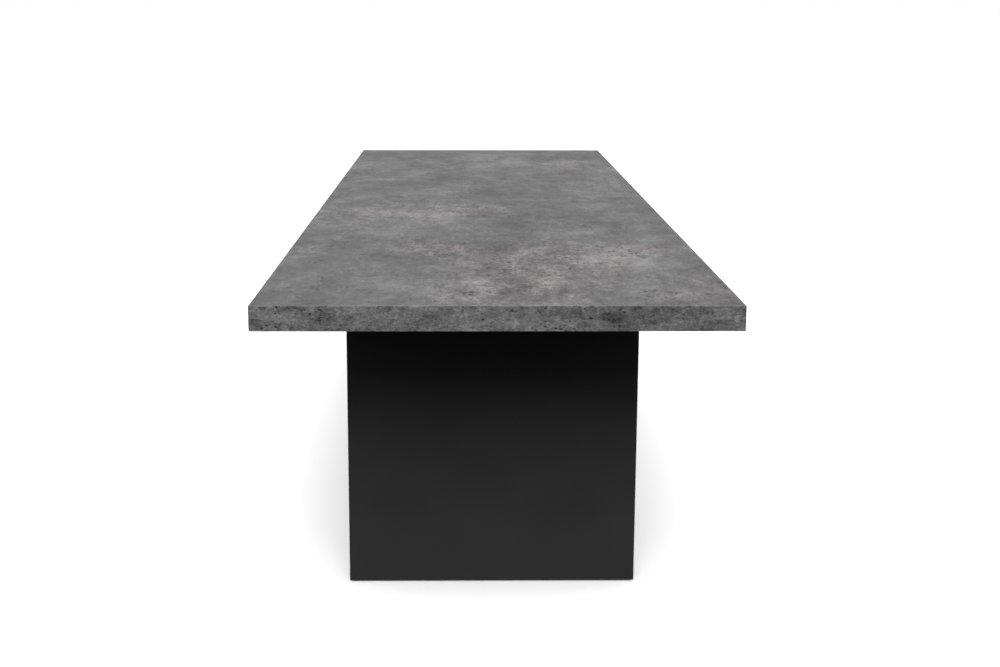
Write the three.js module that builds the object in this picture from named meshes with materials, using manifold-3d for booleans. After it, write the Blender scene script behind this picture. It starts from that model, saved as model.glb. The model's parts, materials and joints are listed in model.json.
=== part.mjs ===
// Extendable dining table: a thick concrete-look top in two halves on two wide black panel legs.
// The halves run on guide channels and are kept symmetrical by a rack and pinion, and the loose leaf lies
// between the rails under the top. Units are millimetres, +X is across the table, +Y along it and +Z up.
// The origin is on the floor, under the middle of the closed table.
import * as THREE from "three";
import { mergeVertices } from "three/addons/utils/BufferGeometryUtils.js";
import Module from "manifold-3d";

const wasm = await Module();
wasm.setup();

// Driving dimensions.
const TOP_LENGTH = 2400;
const TOP_WIDTH = 950;
const TOP_THICKNESS = 50;
const TABLE_HEIGHT = 750;
const LEAF_LENGTH = 500;
const LEG_WIDTH = 655;
const LEG_THICKNESS = 60;
const LEG_SETBACK = 350;
const SLIDE_TRAVEL = 300;

// Board construction.
const SKIN = 6;
const BAND = 2;
const GLUE_LINE = 0.25;
const SEAM_HALF = 0.25;
const CORE_RIB = 20;
const TOP_CELLS = { columns: 5, rows: 6, rim: 60 };
const LEAF_CELLS = { columns: 3, rows: 6, rim: 50 };
const LEG_CELLS = { columns: 4, rows: 4, rim: 50, lastRim: 130 };

// Vertical layout.
const TOP_UNDERSIDE = TABLE_HEIGHT - TOP_THICKNESS;
const FRAME_CLEARANCE = 2;
const FRAME_TOP = TOP_UNDERSIDE - FRAME_CLEARANCE;
const GLIDE_HEIGHT = 4;

// Base frame.
const RAIL_WIDTH = 25;
const RAIL_HEIGHT = 60;
const RAIL_WALL = 2;
const RAIL_INSIDE = 266;
const RAIL_OUTSIDE = RAIL_INSIDE + RAIL_WIDTH;
const LEG_OUTER_FACE = TOP_LENGTH / 2 - LEG_SETBACK;
const LEG_INNER_FACE = LEG_OUTER_FACE - LEG_THICKNESS;
const END_PLATE_THICKNESS = 6;
const END_PLATE_FACE = LEG_INNER_FACE - END_PLATE_THICKNESS;
const END_PLATE_WIDTH = 620;
const END_PLATE_HEIGHT = 138;
const BOLT_X = 240;
const BOLT_ROWS = [FRAME_TOP - 98, FRAME_TOP - 28];
const BOLT_RADIUS = 4;
const BOLT_HOLE = 4.6;
const BOLT_LENGTH = 36;

// Guide channels, sliders and runners, which lie outside the rails.
const CHANNEL_DEPTH = 16;
const CHANNEL_HEIGHT = 40;
const CHANNEL_WALL = 2;
const CHANNEL_LIP = 9;
const CHANNEL_MIDDLE = 670;
const CHANNEL_X = RAIL_OUTSIDE + GLUE_LINE;
const RUNNER_START = 22;
const RUNNER_LENGTH = 456;
const RUNNER_WALL = 3;
const RUNNER_FACE = 309;
const RUNNER_FLANGE = 16;
const RUNNER_BOTTOM = 640;
const RUNNER_SCREWS = 4;
const SCREW_HOLE = 2.3;
const SLIDER_START = 35;
const SLIDER_BLOCK = 50;
const SLIDER_LENGTH = 430;

// Rack and pinion that keeps the halves symmetrical.
const GEAR_MODULE = 2;
const PINION_TEETH = 18;
const PRESSURE_ANGLE = THREE.MathUtils.degToRad(20);
const FLANK_CLEARANCE = 0.12;
const RACK_X = 317;
const RACK_WIDTH = 10;
const RACK_BACK = 7;
const RACK_BOSS = [25, 100];
const RACK_BOLTS = [40, 85];
const RACK_BOLT_HOLE = 2.6;
const RACK_BOLT_DROP = (GEAR_MODULE * PINION_TEETH) / 2 + 1.25 * GEAR_MODULE + RACK_BACK / 2;
const RACK_OVERLAP = 20;

// Journals that turn in a bore: the pinion's axle and the catches' studs.
const JOURNAL = 5;
const JOURNAL_BORE = 5.1;

// Alignment pins, catches and the leaf.
const PIN_RADIUS = 4;
const PIN_HOLE = 4.4;
const PIN_OUT = 12;
const PIN_IN = 22;
const PIN_SPACING = 660;
const LATCH_X = 370;
const LATCH_RADIUS = 70;
const LATCH_PIVOT_Y = 40;
const LEAF_BAR_Y = 300;
const LEAF_BAR_WIDTH = 40;
const LEAF_LIFT = 0.5;

const concreteDecor = new THREE.MeshStandardMaterial({ color: 0x838383, roughness: 0.55, metalness: 0 });
const concreteEdge = new THREE.MeshStandardMaterial({ color: 0x636363, roughness: 0.6, metalness: 0 });
const balancingSkin = new THREE.MeshStandardMaterial({ color: 0x2a2a2a, roughness: 0.7, metalness: 0 });
const chipboard = new THREE.MeshStandardMaterial({ color: 0xb89a72, roughness: 0.9, metalness: 0 });
const blackBoard = new THREE.MeshStandardMaterial({ color: 0x2b2b2b, roughness: 0.6, metalness: 0 });
const blackSteel = new THREE.MeshStandardMaterial({ color: 0x1c1c1e, roughness: 0.5, metalness: 0.3 });
const zincSteel = new THREE.MeshStandardMaterial({ color: 0xa9adb0, roughness: 0.35, metalness: 1 });
const acetal = new THREE.MeshStandardMaterial({ color: 0xe6e4dc, roughness: 0.4, metalness: 0 });
const blackNylon = new THREE.MeshStandardMaterial({ color: 0x1a1a1a, roughness: 0.55, metalness: 0 });
const brass = new THREE.MeshStandardMaterial({ color: 0xb9924a, roughness: 0.35, metalness: 1 });

// Adds a named piece to a group and returns it.
function addPiece(group, name, material, geometry) {
  const mesh = new THREE.Mesh(geometry, material);
  mesh.name = name;
  group.add(mesh);
  return mesh;
}

// A closed box between two opposite corners.
function box([x0, y0, z0], [x1, y1, z1]) {
  const geometry = new THREE.BoxGeometry(x1 - x0, y1 - y0, z1 - z0);
  return geometry.translate((x0 + x1) / 2, (y0 + y1) / 2, (z0 + z1) / 2);
}

// Points as three.js vectors.
function vectors(points) {
  return points.map(([u, v]) => new THREE.Vector2(u, v));
}

// An outline through points, with any holes cut in it.
function outline(points, holes = []) {
  const shape = new THREE.Shape(vectors(points));
  shape.holes = holes.map((hole) => new THREE.Path(vectors(hole)));
  return shape;
}

// The corners of a rectangle, as points of an outline.
function rectangle(u0, v0, u1, v1) {
  return [[u0, v0], [u1, v0], [u1, v1], [u0, v1]];
}

// The points of a circle, as points of an outline.
function circle(radius, segments = 24, u = 0, v = 0) {
  return Array.from({ length: segments }, (_, i) => {
    const angle = (2 * Math.PI * i) / segments;
    return [u + radius * Math.cos(angle), v + radius * Math.sin(angle)];
  });
}

// An outline in the XY plane, from height z0 to z1.
function extrudeUp(shape, z0, z1) {
  const geometry = new THREE.ExtrudeGeometry(shape, { depth: z1 - z0, bevelEnabled: false, curveSegments: 12 });
  return geometry.translate(0, 0, z0);
}

// An outline in the XZ plane, from y0 to y1.
function extrudeAlongY(shape, y0, y1) {
  const geometry = new THREE.ExtrudeGeometry(shape, { depth: y1 - y0, bevelEnabled: false, curveSegments: 12 });
  const turn = new THREE.Matrix4().makeBasis(
    new THREE.Vector3(1, 0, 0),
    new THREE.Vector3(0, 0, 1),
    new THREE.Vector3(0, -1, 0),
  );
  return geometry.applyMatrix4(turn).translate(0, y1, 0);
}

// An outline in the YZ plane, from x0 to x1.
function extrudeAlongX(shape, x0, x1) {
  const geometry = new THREE.ExtrudeGeometry(shape, { depth: x1 - x0, bevelEnabled: false, curveSegments: 12 });
  const turn = new THREE.Matrix4().makeBasis(
    new THREE.Vector3(0, 1, 0),
    new THREE.Vector3(0, 0, 1),
    new THREE.Vector3(1, 0, 0),
  );
  return geometry.applyMatrix4(turn).translate(x0, 0, 0);
}

// A turned piece about the vertical, from [radius, height] points that start and end on the axis.
function turned(profile, segments = 24) {
  return new THREE.LatheGeometry(vectors(profile), segments).rotateX(Math.PI / 2);
}

// A geometry as a solid that can be joined or cut.
function solidOf(geometry) {
  const bare = geometry.index ? geometry.toNonIndexed() : geometry.clone();
  bare.deleteAttribute("normal");
  bare.deleteAttribute("uv");
  const merged = mergeVertices(bare, 1e-4);
  return new wasm.Manifold(
    new wasm.Mesh({
      numProp: 3,
      vertProperties: merged.attributes.position.array,
      triVerts: new Uint32Array(merged.index.array),
    }),
  );
}

// A solid's surface as a geometry.
function geometryOf(solid) {
  const mesh = solid.getMesh();
  const geometry = new THREE.BufferGeometry();
  geometry.setAttribute("position", new THREE.BufferAttribute(mesh.vertProperties, 3));
  geometry.setIndex(new THREE.BufferAttribute(mesh.triVerts, 1));
  return geometry;
}

// Geometries joined into one body.
function joined(...geometries) {
  return geometryOf(geometries.map(solidOf).reduce((whole, next) => whole.add(next)));
}

// A geometry with others cut out of it.
function cutBy(geometry, ...tools) {
  return geometryOf(tools.map(solidOf).reduce((left, tool) => left.subtract(tool), solidOf(geometry)));
}

// A rib frame: a block with columns and rows of open cells cut through it, inside a rim. The columns are
// counted along axisU and the rows along axisV (0 for X, 1 for Y, 2 for Z), and the cells are open along the
// third axis. The rim past the last row can be deeper than the rest.
function ribFrame(low, high, [axisU, axisV], { columns, rows, rim, lastRim = rim }) {
  const sizeU = (high[axisU] - low[axisU] - 2 * rim - (columns - 1) * CORE_RIB) / columns;
  const sizeV = (high[axisV] - low[axisV] - rim - lastRim - (rows - 1) * CORE_RIB) / rows;
  const cells = [];
  for (let column = 0; column < columns; column += 1) {
    for (let row = 0; row < rows; row += 1) {
      const from = low.map((value) => value - 1);
      const to = high.map((value) => value + 1);
      from[axisU] = low[axisU] + rim + column * (sizeU + CORE_RIB);
      from[axisV] = low[axisV] + rim + row * (sizeV + CORE_RIB);
      to[axisU] = from[axisU] + sizeU;
      to[axisV] = from[axisV] + sizeV;
      cells.push(box(from, to));
    }
  }
  return cutBy(box(low, high), ...cells);
}

// Round holes for alignment pins, along Y through the plane y.
function pinHolesAlongY(y0, y1, z) {
  return [-1, 1].map((side) =>
    extrudeAlongY(outline(circle(PIN_HOLE, 24, (side * PIN_SPACING) / 2, z)), y0, y1));
}

// Round holes for alignment pins, along X.
function pinHolesAlongX(x0, x1, z) {
  return [-1, 1].map((side) =>
    extrudeAlongX(outline(circle(PIN_HOLE, 24, (side * PIN_SPACING) / 2, z)), x0, x1));
}

// A hollow-core slab: two skins, a rib frame between them and an edge band round all four sides.
function addSlab(group, prefix, [x0, y0, x1, y1], z0, cells, holes) {
  const z1 = z0 + TOP_THICKNESS;
  const inset = BAND + GLUE_LINE;
  const skinBox = (low, high) =>
    box([x0 + inset, y0 + inset, low], [x1 - inset, y1 - inset, high]);
  const core = ribFrame(
    [x0 + inset, y0 + inset, z0 + SKIN + GLUE_LINE],
    [x1 - inset, y1 - inset, z1 - SKIN - GLUE_LINE],
    [0, 1],
    cells,
  );
  const bandRing = extrudeUp(
    outline(rectangle(x0, y0, x1, y1), [rectangle(x0 + BAND, y0 + BAND, x1 - BAND, y1 - BAND)]),
    z0,
    z1,
  );
  addPiece(group, `${prefix}_upper_skin`, concreteDecor, skinBox(z1 - SKIN, z1));
  addPiece(group, `${prefix}_core`, chipboard, cutBy(core, ...holes));
  addPiece(group, `${prefix}_lower_skin`, balancingSkin, skinBox(z0, z0 + SKIN));
  addPiece(group, `${prefix}_edge_band`, concreteEdge, cutBy(bandRing, ...holes));
}

// A leg: a mitre-folded board shell round a rib frame, with holes for the end plate's bolts.
function addLeg(group, name, end) {
  const outer = LEG_OUTER_FACE;
  const inner = LEG_INNER_FACE;
  const side = LEG_WIDTH / 2;
  const bolts = BOLT_ROWS.flatMap((z) =>
    [-BOLT_X, BOLT_X].map((x) => extrudeAlongY(outline(circle(BOLT_HOLE, 20, x, z)), inner - 5, inner + 40)));
  const shell = extrudeUp(
    outline(rectangle(-side, inner, side, outer), [
      rectangle(-side + SKIN, inner + SKIN, side - SKIN, outer - SKIN),
    ]),
    GLIDE_HEIGHT,
    FRAME_TOP,
  );
  const coreInset = SKIN + GLUE_LINE;
  const core = ribFrame(
    [-side + coreInset, inner + coreInset, GLIDE_HEIGHT],
    [side - coreInset, outer - coreInset, FRAME_TOP],
    [0, 2],
    LEG_CELLS,
  );
  const leg = new THREE.Group();
  addPiece(leg, `${name}_shell`, blackBoard, cutBy(shell, ...bolts));
  addPiece(leg, `${name}_core`, chipboard, cutBy(core, ...bolts));
  leg.rotation.z = end > 0 ? 0 : Math.PI;
  group.add(leg);
}

// A flat glide under each end of a leg, with a nail that holds it in the core.
function addFootGlide(group, name, x, y) {
  const glide = addPiece(
    group,
    name,
    blackNylon,
    turned([[0, 0], [14, 0], [16, 1.2], [16, GLIDE_HEIGHT - 0.25], [0, GLIDE_HEIGHT - 0.25]], 32),
  );
  glide.position.set(x, y, 0);
}

// The strip on top of a leg that the top slides over.
function addSlideStrip(group, name, end) {
  const margin = 7;
  const y0 = end > 0 ? LEG_INNER_FACE : -LEG_OUTER_FACE;
  const strip = box(
    [-LEG_WIDTH / 2 + margin, y0 + margin, FRAME_TOP + GLUE_LINE],
    [LEG_WIDTH / 2 - margin, y0 + LEG_THICKNESS - margin, TOP_UNDERSIDE - LEAF_LIFT],
  );
  const screwHoles = [-0.4, -0.133, 0.133, 0.4].map((share) => {
    const hole = circle(SCREW_HOLE, 12, share * LEG_WIDTH, y0 + LEG_THICKNESS / 2);
    return extrudeUp(outline(hole), FRAME_TOP - 1, TOP_UNDERSIDE + 1);
  });
  addPiece(group, name, acetal, cutBy(strip, ...screwHoles));
}

// A rectangular steel tube along the table.
function addSideRail(group, name, side) {
  const x0 = side > 0 ? RAIL_INSIDE : -RAIL_OUTSIDE;
  const x1 = x0 + RAIL_WIDTH;
  const z0 = FRAME_TOP - RAIL_HEIGHT;
  const length = END_PLATE_FACE - GLUE_LINE;
  const section = outline(rectangle(x0, z0, x1, FRAME_TOP), [
    rectangle(x0 + RAIL_WALL, z0 + RAIL_WALL, x1 - RAIL_WALL, FRAME_TOP - RAIL_WALL),
  ]);
  addPiece(group, name, blackSteel, extrudeAlongY(section, -length, length));
}

// The steel plate that joins the rails to the inner face of a leg.
function addEndPlate(group, name, end) {
  const boltHoles = BOLT_ROWS.flatMap((z) => [-BOLT_X, BOLT_X].map((x) => circle(BOLT_HOLE, 20, x, z)));
  const plate = outline(
    rectangle(-END_PLATE_WIDTH / 2, FRAME_TOP - END_PLATE_HEIGHT, END_PLATE_WIDTH / 2, FRAME_TOP),
    boltHoles,
  );
  const y0 = end > 0 ? END_PLATE_FACE : -LEG_INNER_FACE + GLUE_LINE;
  const y1 = y0 + END_PLATE_THICKNESS - GLUE_LINE;
  addPiece(group, name, blackSteel, extrudeAlongY(plate, y0, y1));
}

// A button-head bolt through an end plate into a leg, with its head towards the table's middle.
function addEndBolt(group, name, x, z, end) {
  const head = 4.5;
  const bolt = addPiece(
    group,
    name,
    zincSteel,
    turned([[0, 0], [BOLT_RADIUS, 0], [BOLT_RADIUS, BOLT_LENGTH], [7.5, BOLT_LENGTH], [7, BOLT_LENGTH + 3],
      [4.5, BOLT_LENGTH + head], [0, BOLT_LENGTH + head]], 20),
  );
  const seat = END_PLATE_FACE - GLUE_LINE + BOLT_LENGTH;
  bolt.rotation.x = end > 0 ? Math.PI / 2 : -Math.PI / 2;
  bolt.position.set(x, end * seat, z);
}

// A flat bar across the rails that the stored leaf lies on.
function addLeafBar(group, name, y) {
  const reach = RAIL_INSIDE - GLUE_LINE;
  const top = TOP_UNDERSIDE - FRAME_CLEARANCE - TOP_THICKNESS - LEAF_LIFT;
  const bar = box([-reach, y - LEAF_BAR_WIDTH / 2, top - SKIN], [reach, y + LEAF_BAR_WIDTH / 2, top]);
  addPiece(group, name, blackSteel, bar);
}

// A lipped channel on the outer face of a rail, open away from the middle.
function addGuideChannel(group, name, side) {
  const x0 = CHANNEL_X;
  const x1 = CHANNEL_X + CHANNEL_DEPTH;
  const z0 = CHANNEL_MIDDLE - CHANNEL_HEIGHT / 2;
  const z1 = CHANNEL_MIDDLE + CHANNEL_HEIGHT / 2;
  const wall = CHANNEL_WALL;
  const profile = [
    [x0, z0], [x1, z0], [x1, z0 + CHANNEL_LIP], [x1 - wall, z0 + CHANNEL_LIP], [x1 - wall, z0 + wall],
    [x0 + wall, z0 + wall], [x0 + wall, z1 - wall], [x1 - wall, z1 - wall], [x1 - wall, z1 - CHANNEL_LIP],
    [x1, z1 - CHANNEL_LIP], [x1, z1], [x0, z1],
  ];
  const length = END_PLATE_FACE - 2;
  const channel = addPiece(group, name, zincSteel, extrudeAlongY(outline(profile), -length, length));
  channel.rotation.z = side > 0 ? 0 : Math.PI;
}

// A steel angle under a top half: its flange is screwed to the slab and its web carries the slider.
// It is drawn at +X and +Y, and turned or mirrored into place.
function runnerGeometry() {
  const z1 = TOP_UNDERSIDE - GLUE_LINE;
  const x1 = RUNNER_FACE + RUNNER_WALL;
  const section = outline([
    [x1, z1], [RUNNER_FACE - RUNNER_FLANGE, z1], [RUNNER_FACE - RUNNER_FLANGE, z1 - RUNNER_WALL],
    [RUNNER_FACE, z1 - RUNNER_WALL], [RUNNER_FACE, RUNNER_BOTTOM], [x1, RUNNER_BOTTOM],
  ]);
  const screwHoles = Array.from({ length: RUNNER_SCREWS }, (_, i) => {
    const y = RUNNER_START + (RUNNER_LENGTH * (i + 0.5)) / RUNNER_SCREWS;
    return extrudeUp(outline(circle(SCREW_HOLE, 12, RUNNER_FACE - RUNNER_FLANGE / 2, y)), z1 - 5, z1 + 1);
  });
  return cutBy(extrudeAlongY(section, RUNNER_START, RUNNER_START + RUNNER_LENGTH), ...screwHoles);
}

// A slider: two blocks that fill the channel, a thin bar between them and a neck out of the slot at each.
function sliderGeometry() {
  const x0 = CHANNEL_X + CHANNEL_WALL + 0.5;
  const x1 = CHANNEL_X + CHANNEL_DEPTH - CHANNEL_WALL - 0.5;
  const half = CHANNEL_HEIGHT / 2 - CHANNEL_WALL - 0.5;
  const neckHalf = CHANNEL_HEIGHT / 2 - CHANNEL_LIP - 1;
  const blocks = [SLIDER_START, SLIDER_START + SLIDER_LENGTH - SLIDER_BLOCK].flatMap((y) => [
    box([x0, y, CHANNEL_MIDDLE - half], [x1, y + SLIDER_BLOCK, CHANNEL_MIDDLE + half]),
    box([x1 - 1, y, CHANNEL_MIDDLE - neckHalf], [RUNNER_FACE - GLUE_LINE, y + SLIDER_BLOCK, CHANNEL_MIDDLE + neckHalf]),
  ]);
  const link = box(
    [x0 + 2, SLIDER_START + 1, CHANNEL_MIDDLE - 6],
    [x1 - 2, SLIDER_START + SLIDER_LENGTH - 1, CHANNEL_MIDDLE + 6],
  );
  return joined(link, ...blocks);
}

// The runners and sliders of one half, drawn at +Y; end says which half. The runner at +X also takes the
// rack's bolts, at the height rackHoleZ.
function addRunners(group, half, end, rackHoleZ) {
  for (const [hand, side] of [["left", -1], ["right", 1]]) {
    const shape = side > 0 ? cutBy(runnerGeometry(), ...rackBoltHoles(rackHoleZ)) : runnerGeometry();
    const runner = addPiece(group, `runner_${half}_${hand}`, blackSteel, shape);
    const slider = addPiece(group, `slider_${half}_${hand}`, acetal, sliderGeometry());
    for (const mesh of [runner, slider]) mesh.scale.set(side, end, 1);
  }
}

// Half the thickness angle of a pinion tooth at a radius, from the involute of its base circle.
function halfToothAngle(radius, pitchRadius, baseRadius) {
  const involute = (angle) => Math.tan(angle) - angle;
  const atPitch = Math.PI / (2 * PINION_TEETH) - FLANK_CLEARANCE / pitchRadius;
  return atPitch + involute(PRESSURE_ANGLE) - involute(Math.acos(Math.min(1, baseRadius / radius)));
}

// An involute pinion's outline, with one tooth pointing straight down.
function pinionOutline() {
  const pitchRadius = (GEAR_MODULE * PINION_TEETH) / 2;
  const baseRadius = pitchRadius * Math.cos(PRESSURE_ANGLE);
  const rootRadius = pitchRadius - 1.25 * GEAR_MODULE;
  const tipRadius = pitchRadius + GEAR_MODULE;
  const flank = [0, 0.25, 0.5, 0.75, 1].map((t) => baseRadius + t * (tipRadius - baseRadius));
  const points = [];
  for (let tooth = 0; tooth < PINION_TEETH; tooth += 1) {
    const middle = -Math.PI / 2 + (2 * Math.PI * tooth) / PINION_TEETH;
    const side = (sign) => flank.map((radius) => [radius, sign * halfToothAngle(radius, pitchRadius, baseRadius)]);
    const root = halfToothAngle(baseRadius, pitchRadius, baseRadius);
    const polar = [[rootRadius, -root], ...side(-1), ...side(1).reverse(), [rootRadius, root]];
    for (const [radius, offset] of polar) {
      points.push([radius * Math.cos(middle + offset), radius * Math.sin(middle + offset)]);
    }
  }
  return outline(points, [circle(JOURNAL_BORE, 48)]);
}

// A rack's outline from y0 to y1 with its teeth up, its pitch line at height 0 and a space at y = 0.
function rackOutline(y0, y1) {
  const pitch = Math.PI * GEAR_MODULE;
  const addendum = GEAR_MODULE;
  const dedendum = 1.25 * GEAR_MODULE;
  const halfAt = (height) => pitch / 4 - FLANK_CLEARANCE - height * Math.tan(PRESSURE_ANGLE);
  const points = [[y1, -dedendum], [y1, -dedendum - RACK_BACK], [y0, -dedendum - RACK_BACK], [y0, -dedendum]];
  const first = Math.ceil((y0 + 2) / pitch + 0.5) - 0.5;
  for (let k = first; (k + 0.5) * pitch < y1 - 1; k += 1) {
    const middle = k * pitch;
    points.push([middle - halfAt(-dedendum), -dedendum]);
    points.push([middle - halfAt(addendum), addendum]);
    points.push([middle + halfAt(addendum), addendum]);
    points.push([middle + halfAt(-dedendum), -dedendum]);
  }
  return outline(points);
}

// A rack with the boss that is bolted to a runner's web. It is drawn with its teeth up for the half at +Y.
function rackGeometry() {
  const [bossStart, bossEnd] = RACK_BOSS;
  const bar = extrudeAlongX(rackOutline(-SLIDE_TRAVEL - RACK_OVERLAP, bossEnd), RACK_X, RACK_X + RACK_WIDTH);
  const bossTop = -1.25 * GEAR_MODULE - 1;
  const boss = box(
    [RUNNER_FACE + RUNNER_WALL + GLUE_LINE, bossStart, -1.25 * GEAR_MODULE - RACK_BACK],
    [RACK_X + 1, bossEnd, bossTop],
  );
  return cutBy(joined(bar, boss), ...rackBoltHoles(-1.25 * GEAR_MODULE - RACK_BACK / 2));
}

// The holes along X for the bolts that hold a rack to a runner's web, at a height.
function rackBoltHoles(z) {
  return RACK_BOLTS.map((y) =>
    extrudeAlongX(outline(circle(RACK_BOLT_HOLE, 12, y, z)), RUNNER_FACE - 1, RACK_X + RACK_WIDTH + 1));
}

// The pinion with the hub that spaces it from the channel.
function pinionGeometry() {
  const hub = outline(circle(9), [circle(JOURNAL_BORE, 48)]);
  return joined(
    extrudeAlongX(pinionOutline(), RACK_X, RACK_X + RACK_WIDTH),
    extrudeAlongX(hub, RUNNER_FACE, RACK_X + 1),
  );
}

// The pinion's axle: a thick foot on the channel's web, the journal and a retaining head.
function axleGeometry() {
  const foot = CHANNEL_X + CHANNEL_WALL + GLUE_LINE;
  const shoulder = RUNNER_FACE - 0.5;
  const clip = RACK_X + RACK_WIDTH + 0.5;
  const profile = [[0, foot], [8, foot], [8, shoulder], [JOURNAL, shoulder], [JOURNAL, clip], [8, clip],
    [8, clip + 2], [0, clip + 2]];
  return turned(profile).rotateY(Math.PI / 2);
}

// An alignment pin along +Y, with its middle ring at the face it stands out of.
function pinGeometry() {
  const profile = [[0, -PIN_IN], [PIN_RADIUS - 1, -PIN_IN], [PIN_RADIUS, 1 - PIN_IN], [PIN_RADIUS, PIN_OUT - 2],
    [PIN_RADIUS - 1.5, PIN_OUT], [0, PIN_OUT]];
  return turned(profile, 16).rotateX(-Math.PI / 2);
}

// A catch's mounting plate with a screw hole near each corner, hanging from z = 0.
function catchPlate(halfX, halfY) {
  const screwHoles = [-1, 1].flatMap((sideX) => [-1, 1].map((sideY) =>
    circle(SCREW_HOLE, 12, sideX * (halfX - 5.5), sideY * (halfY - 5.5))));
  return extrudeUp(outline(rectangle(-halfX, -halfY, halfX, halfY), screwHoles), -2.5, 0);
}

// A catch's base plate with its pivot stud, hanging from z = 0.
function latchBaseGeometry() {
  const stud = turned([[0, -15], [8, -15], [8, -12.5], [JOURNAL, -12.5], [JOURNAL, -2], [0, -2]]);
  return joined(catchPlate(20, 25), stud);
}

// A keeper plate with the stud that the hook takes, hanging from z = 0.
function latchKeeperGeometry() {
  const stud = turned([[0, -14.5], [6.5, -14.5], [6.5, -12.5], [4, -12.5], [4, -2], [0, -2]]);
  return joined(catchPlate(20, 20), stud);
}

// A hook lever in its open position, pointing along +X, with its notch open towards +Y and a thumb tail.
function latchHookGeometry() {
  const half = 9;
  const notch = 5.4;
  const tip = LATCH_RADIUS + 13;
  const tail = -38;
  const shape = new THREE.Shape();
  shape.moveTo(tail, -half + 3);
  shape.lineTo(-12, -half);
  shape.lineTo(tip - 5, -half);
  shape.absarc(tip - 5, -half + 5, 5, -Math.PI / 2, 0, false);
  shape.lineTo(tip, half);
  shape.lineTo(LATCH_RADIUS + notch - 0.6, half);
  shape.lineTo(LATCH_RADIUS + notch - 0.6, 0);
  shape.absarc(LATCH_RADIUS - 0.3, 0, notch - 0.3, 0, -Math.PI, true);
  shape.lineTo(LATCH_RADIUS - notch, half);
  shape.lineTo(-12, half);
  shape.lineTo(tail, half - 3);
  shape.holes.push(new THREE.Path(vectors(circle(JOURNAL_BORE, 48))));
  return extrudeUp(shape, -9.5, -5.5);
}

// The parts of the two catches that ride on one half.
function addLatches(frontTop, rearTop) {
  const z = TOP_UNDERSIDE - GLUE_LINE;
  for (const [hand, side] of [["left", -1], ["right", 1]]) {
    const base = addPiece(frontTop, `latch_base_${hand}`, zincSteel, latchBaseGeometry());
    const hook = addPiece(frontTop, `latch_hook_${hand}`, zincSteel, latchHookGeometry());
    const keeper = addPiece(rearTop, `latch_keeper_${hand}`, zincSteel, latchKeeperGeometry());
    base.position.set(side * LATCH_X, -LATCH_PIVOT_Y, z);
    hook.position.set(side * LATCH_X, -LATCH_PIVOT_Y, z);
    hook.scale.x = side;
    keeper.position.set(side * LATCH_X, LATCH_RADIUS - LATCH_PIVOT_Y, z);
  }
}

// The fixed base: legs, frame, guide channels and the pinion's axle.
function makeBase() {
  const base = new THREE.Group();
  for (const [place, end] of [["front", -1], ["rear", 1]]) {
    addLeg(base, `leg_${place}`, end);
    addSlideStrip(base, `slide_strip_${place}`, end);
    addEndPlate(base, `end_plate_${place}`, end);
    addLeafBar(base, `leaf_bar_${place}`, end * LEAF_BAR_Y);
    let bolt = 0;
    for (const z of BOLT_ROWS) {
      for (const side of [-1, 1]) {
        bolt += 1;
        addEndBolt(base, `end_bolt_${place}_${bolt}`, side * BOLT_X, z, end);
      }
    }
    for (const [hand, side] of [["left", -1], ["right", 1]]) {
      const middle = (LEG_OUTER_FACE + LEG_INNER_FACE) / 2;
      addFootGlide(base, `foot_glide_${place}_${hand}`, side * (LEG_WIDTH / 2 - 45), end * middle);
    }
  }
  for (const [hand, side] of [["left", -1], ["right", 1]]) {
    addSideRail(base, `side_rail_${hand}`, side);
    addGuideChannel(base, `guide_channel_${hand}`, side);
  }
  const axle = addPiece(base, "pinion_axle", zincSteel, axleGeometry());
  axle.position.set(0, 0, CHANNEL_MIDDLE);
  return base;
}

// The front half of the top, with the alignment pins and the lower rack.
function makeFrontTop() {
  const group = new THREE.Group();
  const side = TOP_WIDTH / 2;
  const middle = TOP_UNDERSIDE + TOP_THICKNESS / 2;
  const footprint = [-side, -TOP_LENGTH / 2, side, -SEAM_HALF];
  const holes = pinHolesAlongY(-SEAM_HALF - PIN_IN - 2, 5, middle);
  addSlab(group, "front_top", footprint, TOP_UNDERSIDE, TOP_CELLS, holes);
  for (const [hand, x] of [["left", -1], ["right", 1]]) {
    const pin = addPiece(group, `align_pin_${hand}`, zincSteel, pinGeometry());
    pin.position.set((x * PIN_SPACING) / 2, -SEAM_HALF, middle);
  }
  addRunners(group, "front", -1, CHANNEL_MIDDLE - RACK_BOLT_DROP);
  const rack = addPiece(group, "rack_lower", blackNylon, rackGeometry());
  rack.scale.y = -1;
  rack.position.z = CHANNEL_MIDDLE - (GEAR_MODULE * PINION_TEETH) / 2;
  return group;
}

// The rear half of the top, with the pin sockets and the upper rack.
function makeRearTop() {
  const group = new THREE.Group();
  const side = TOP_WIDTH / 2;
  const middle = TOP_UNDERSIDE + TOP_THICKNESS / 2;
  const footprint = [-side, SEAM_HALF, side, TOP_LENGTH / 2];
  const holes = pinHolesAlongY(-5, SEAM_HALF + PIN_OUT + 4, middle);
  addSlab(group, "rear_top", footprint, TOP_UNDERSIDE, TOP_CELLS, holes);
  addRunners(group, "rear", 1, CHANNEL_MIDDLE + RACK_BOLT_DROP);
  const rack = addPiece(group, "rack_upper", blackNylon, rackGeometry());
  rack.scale.z = -1;
  rack.position.z = CHANNEL_MIDDLE + (GEAR_MODULE * PINION_TEETH) / 2;
  return group;
}

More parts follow.
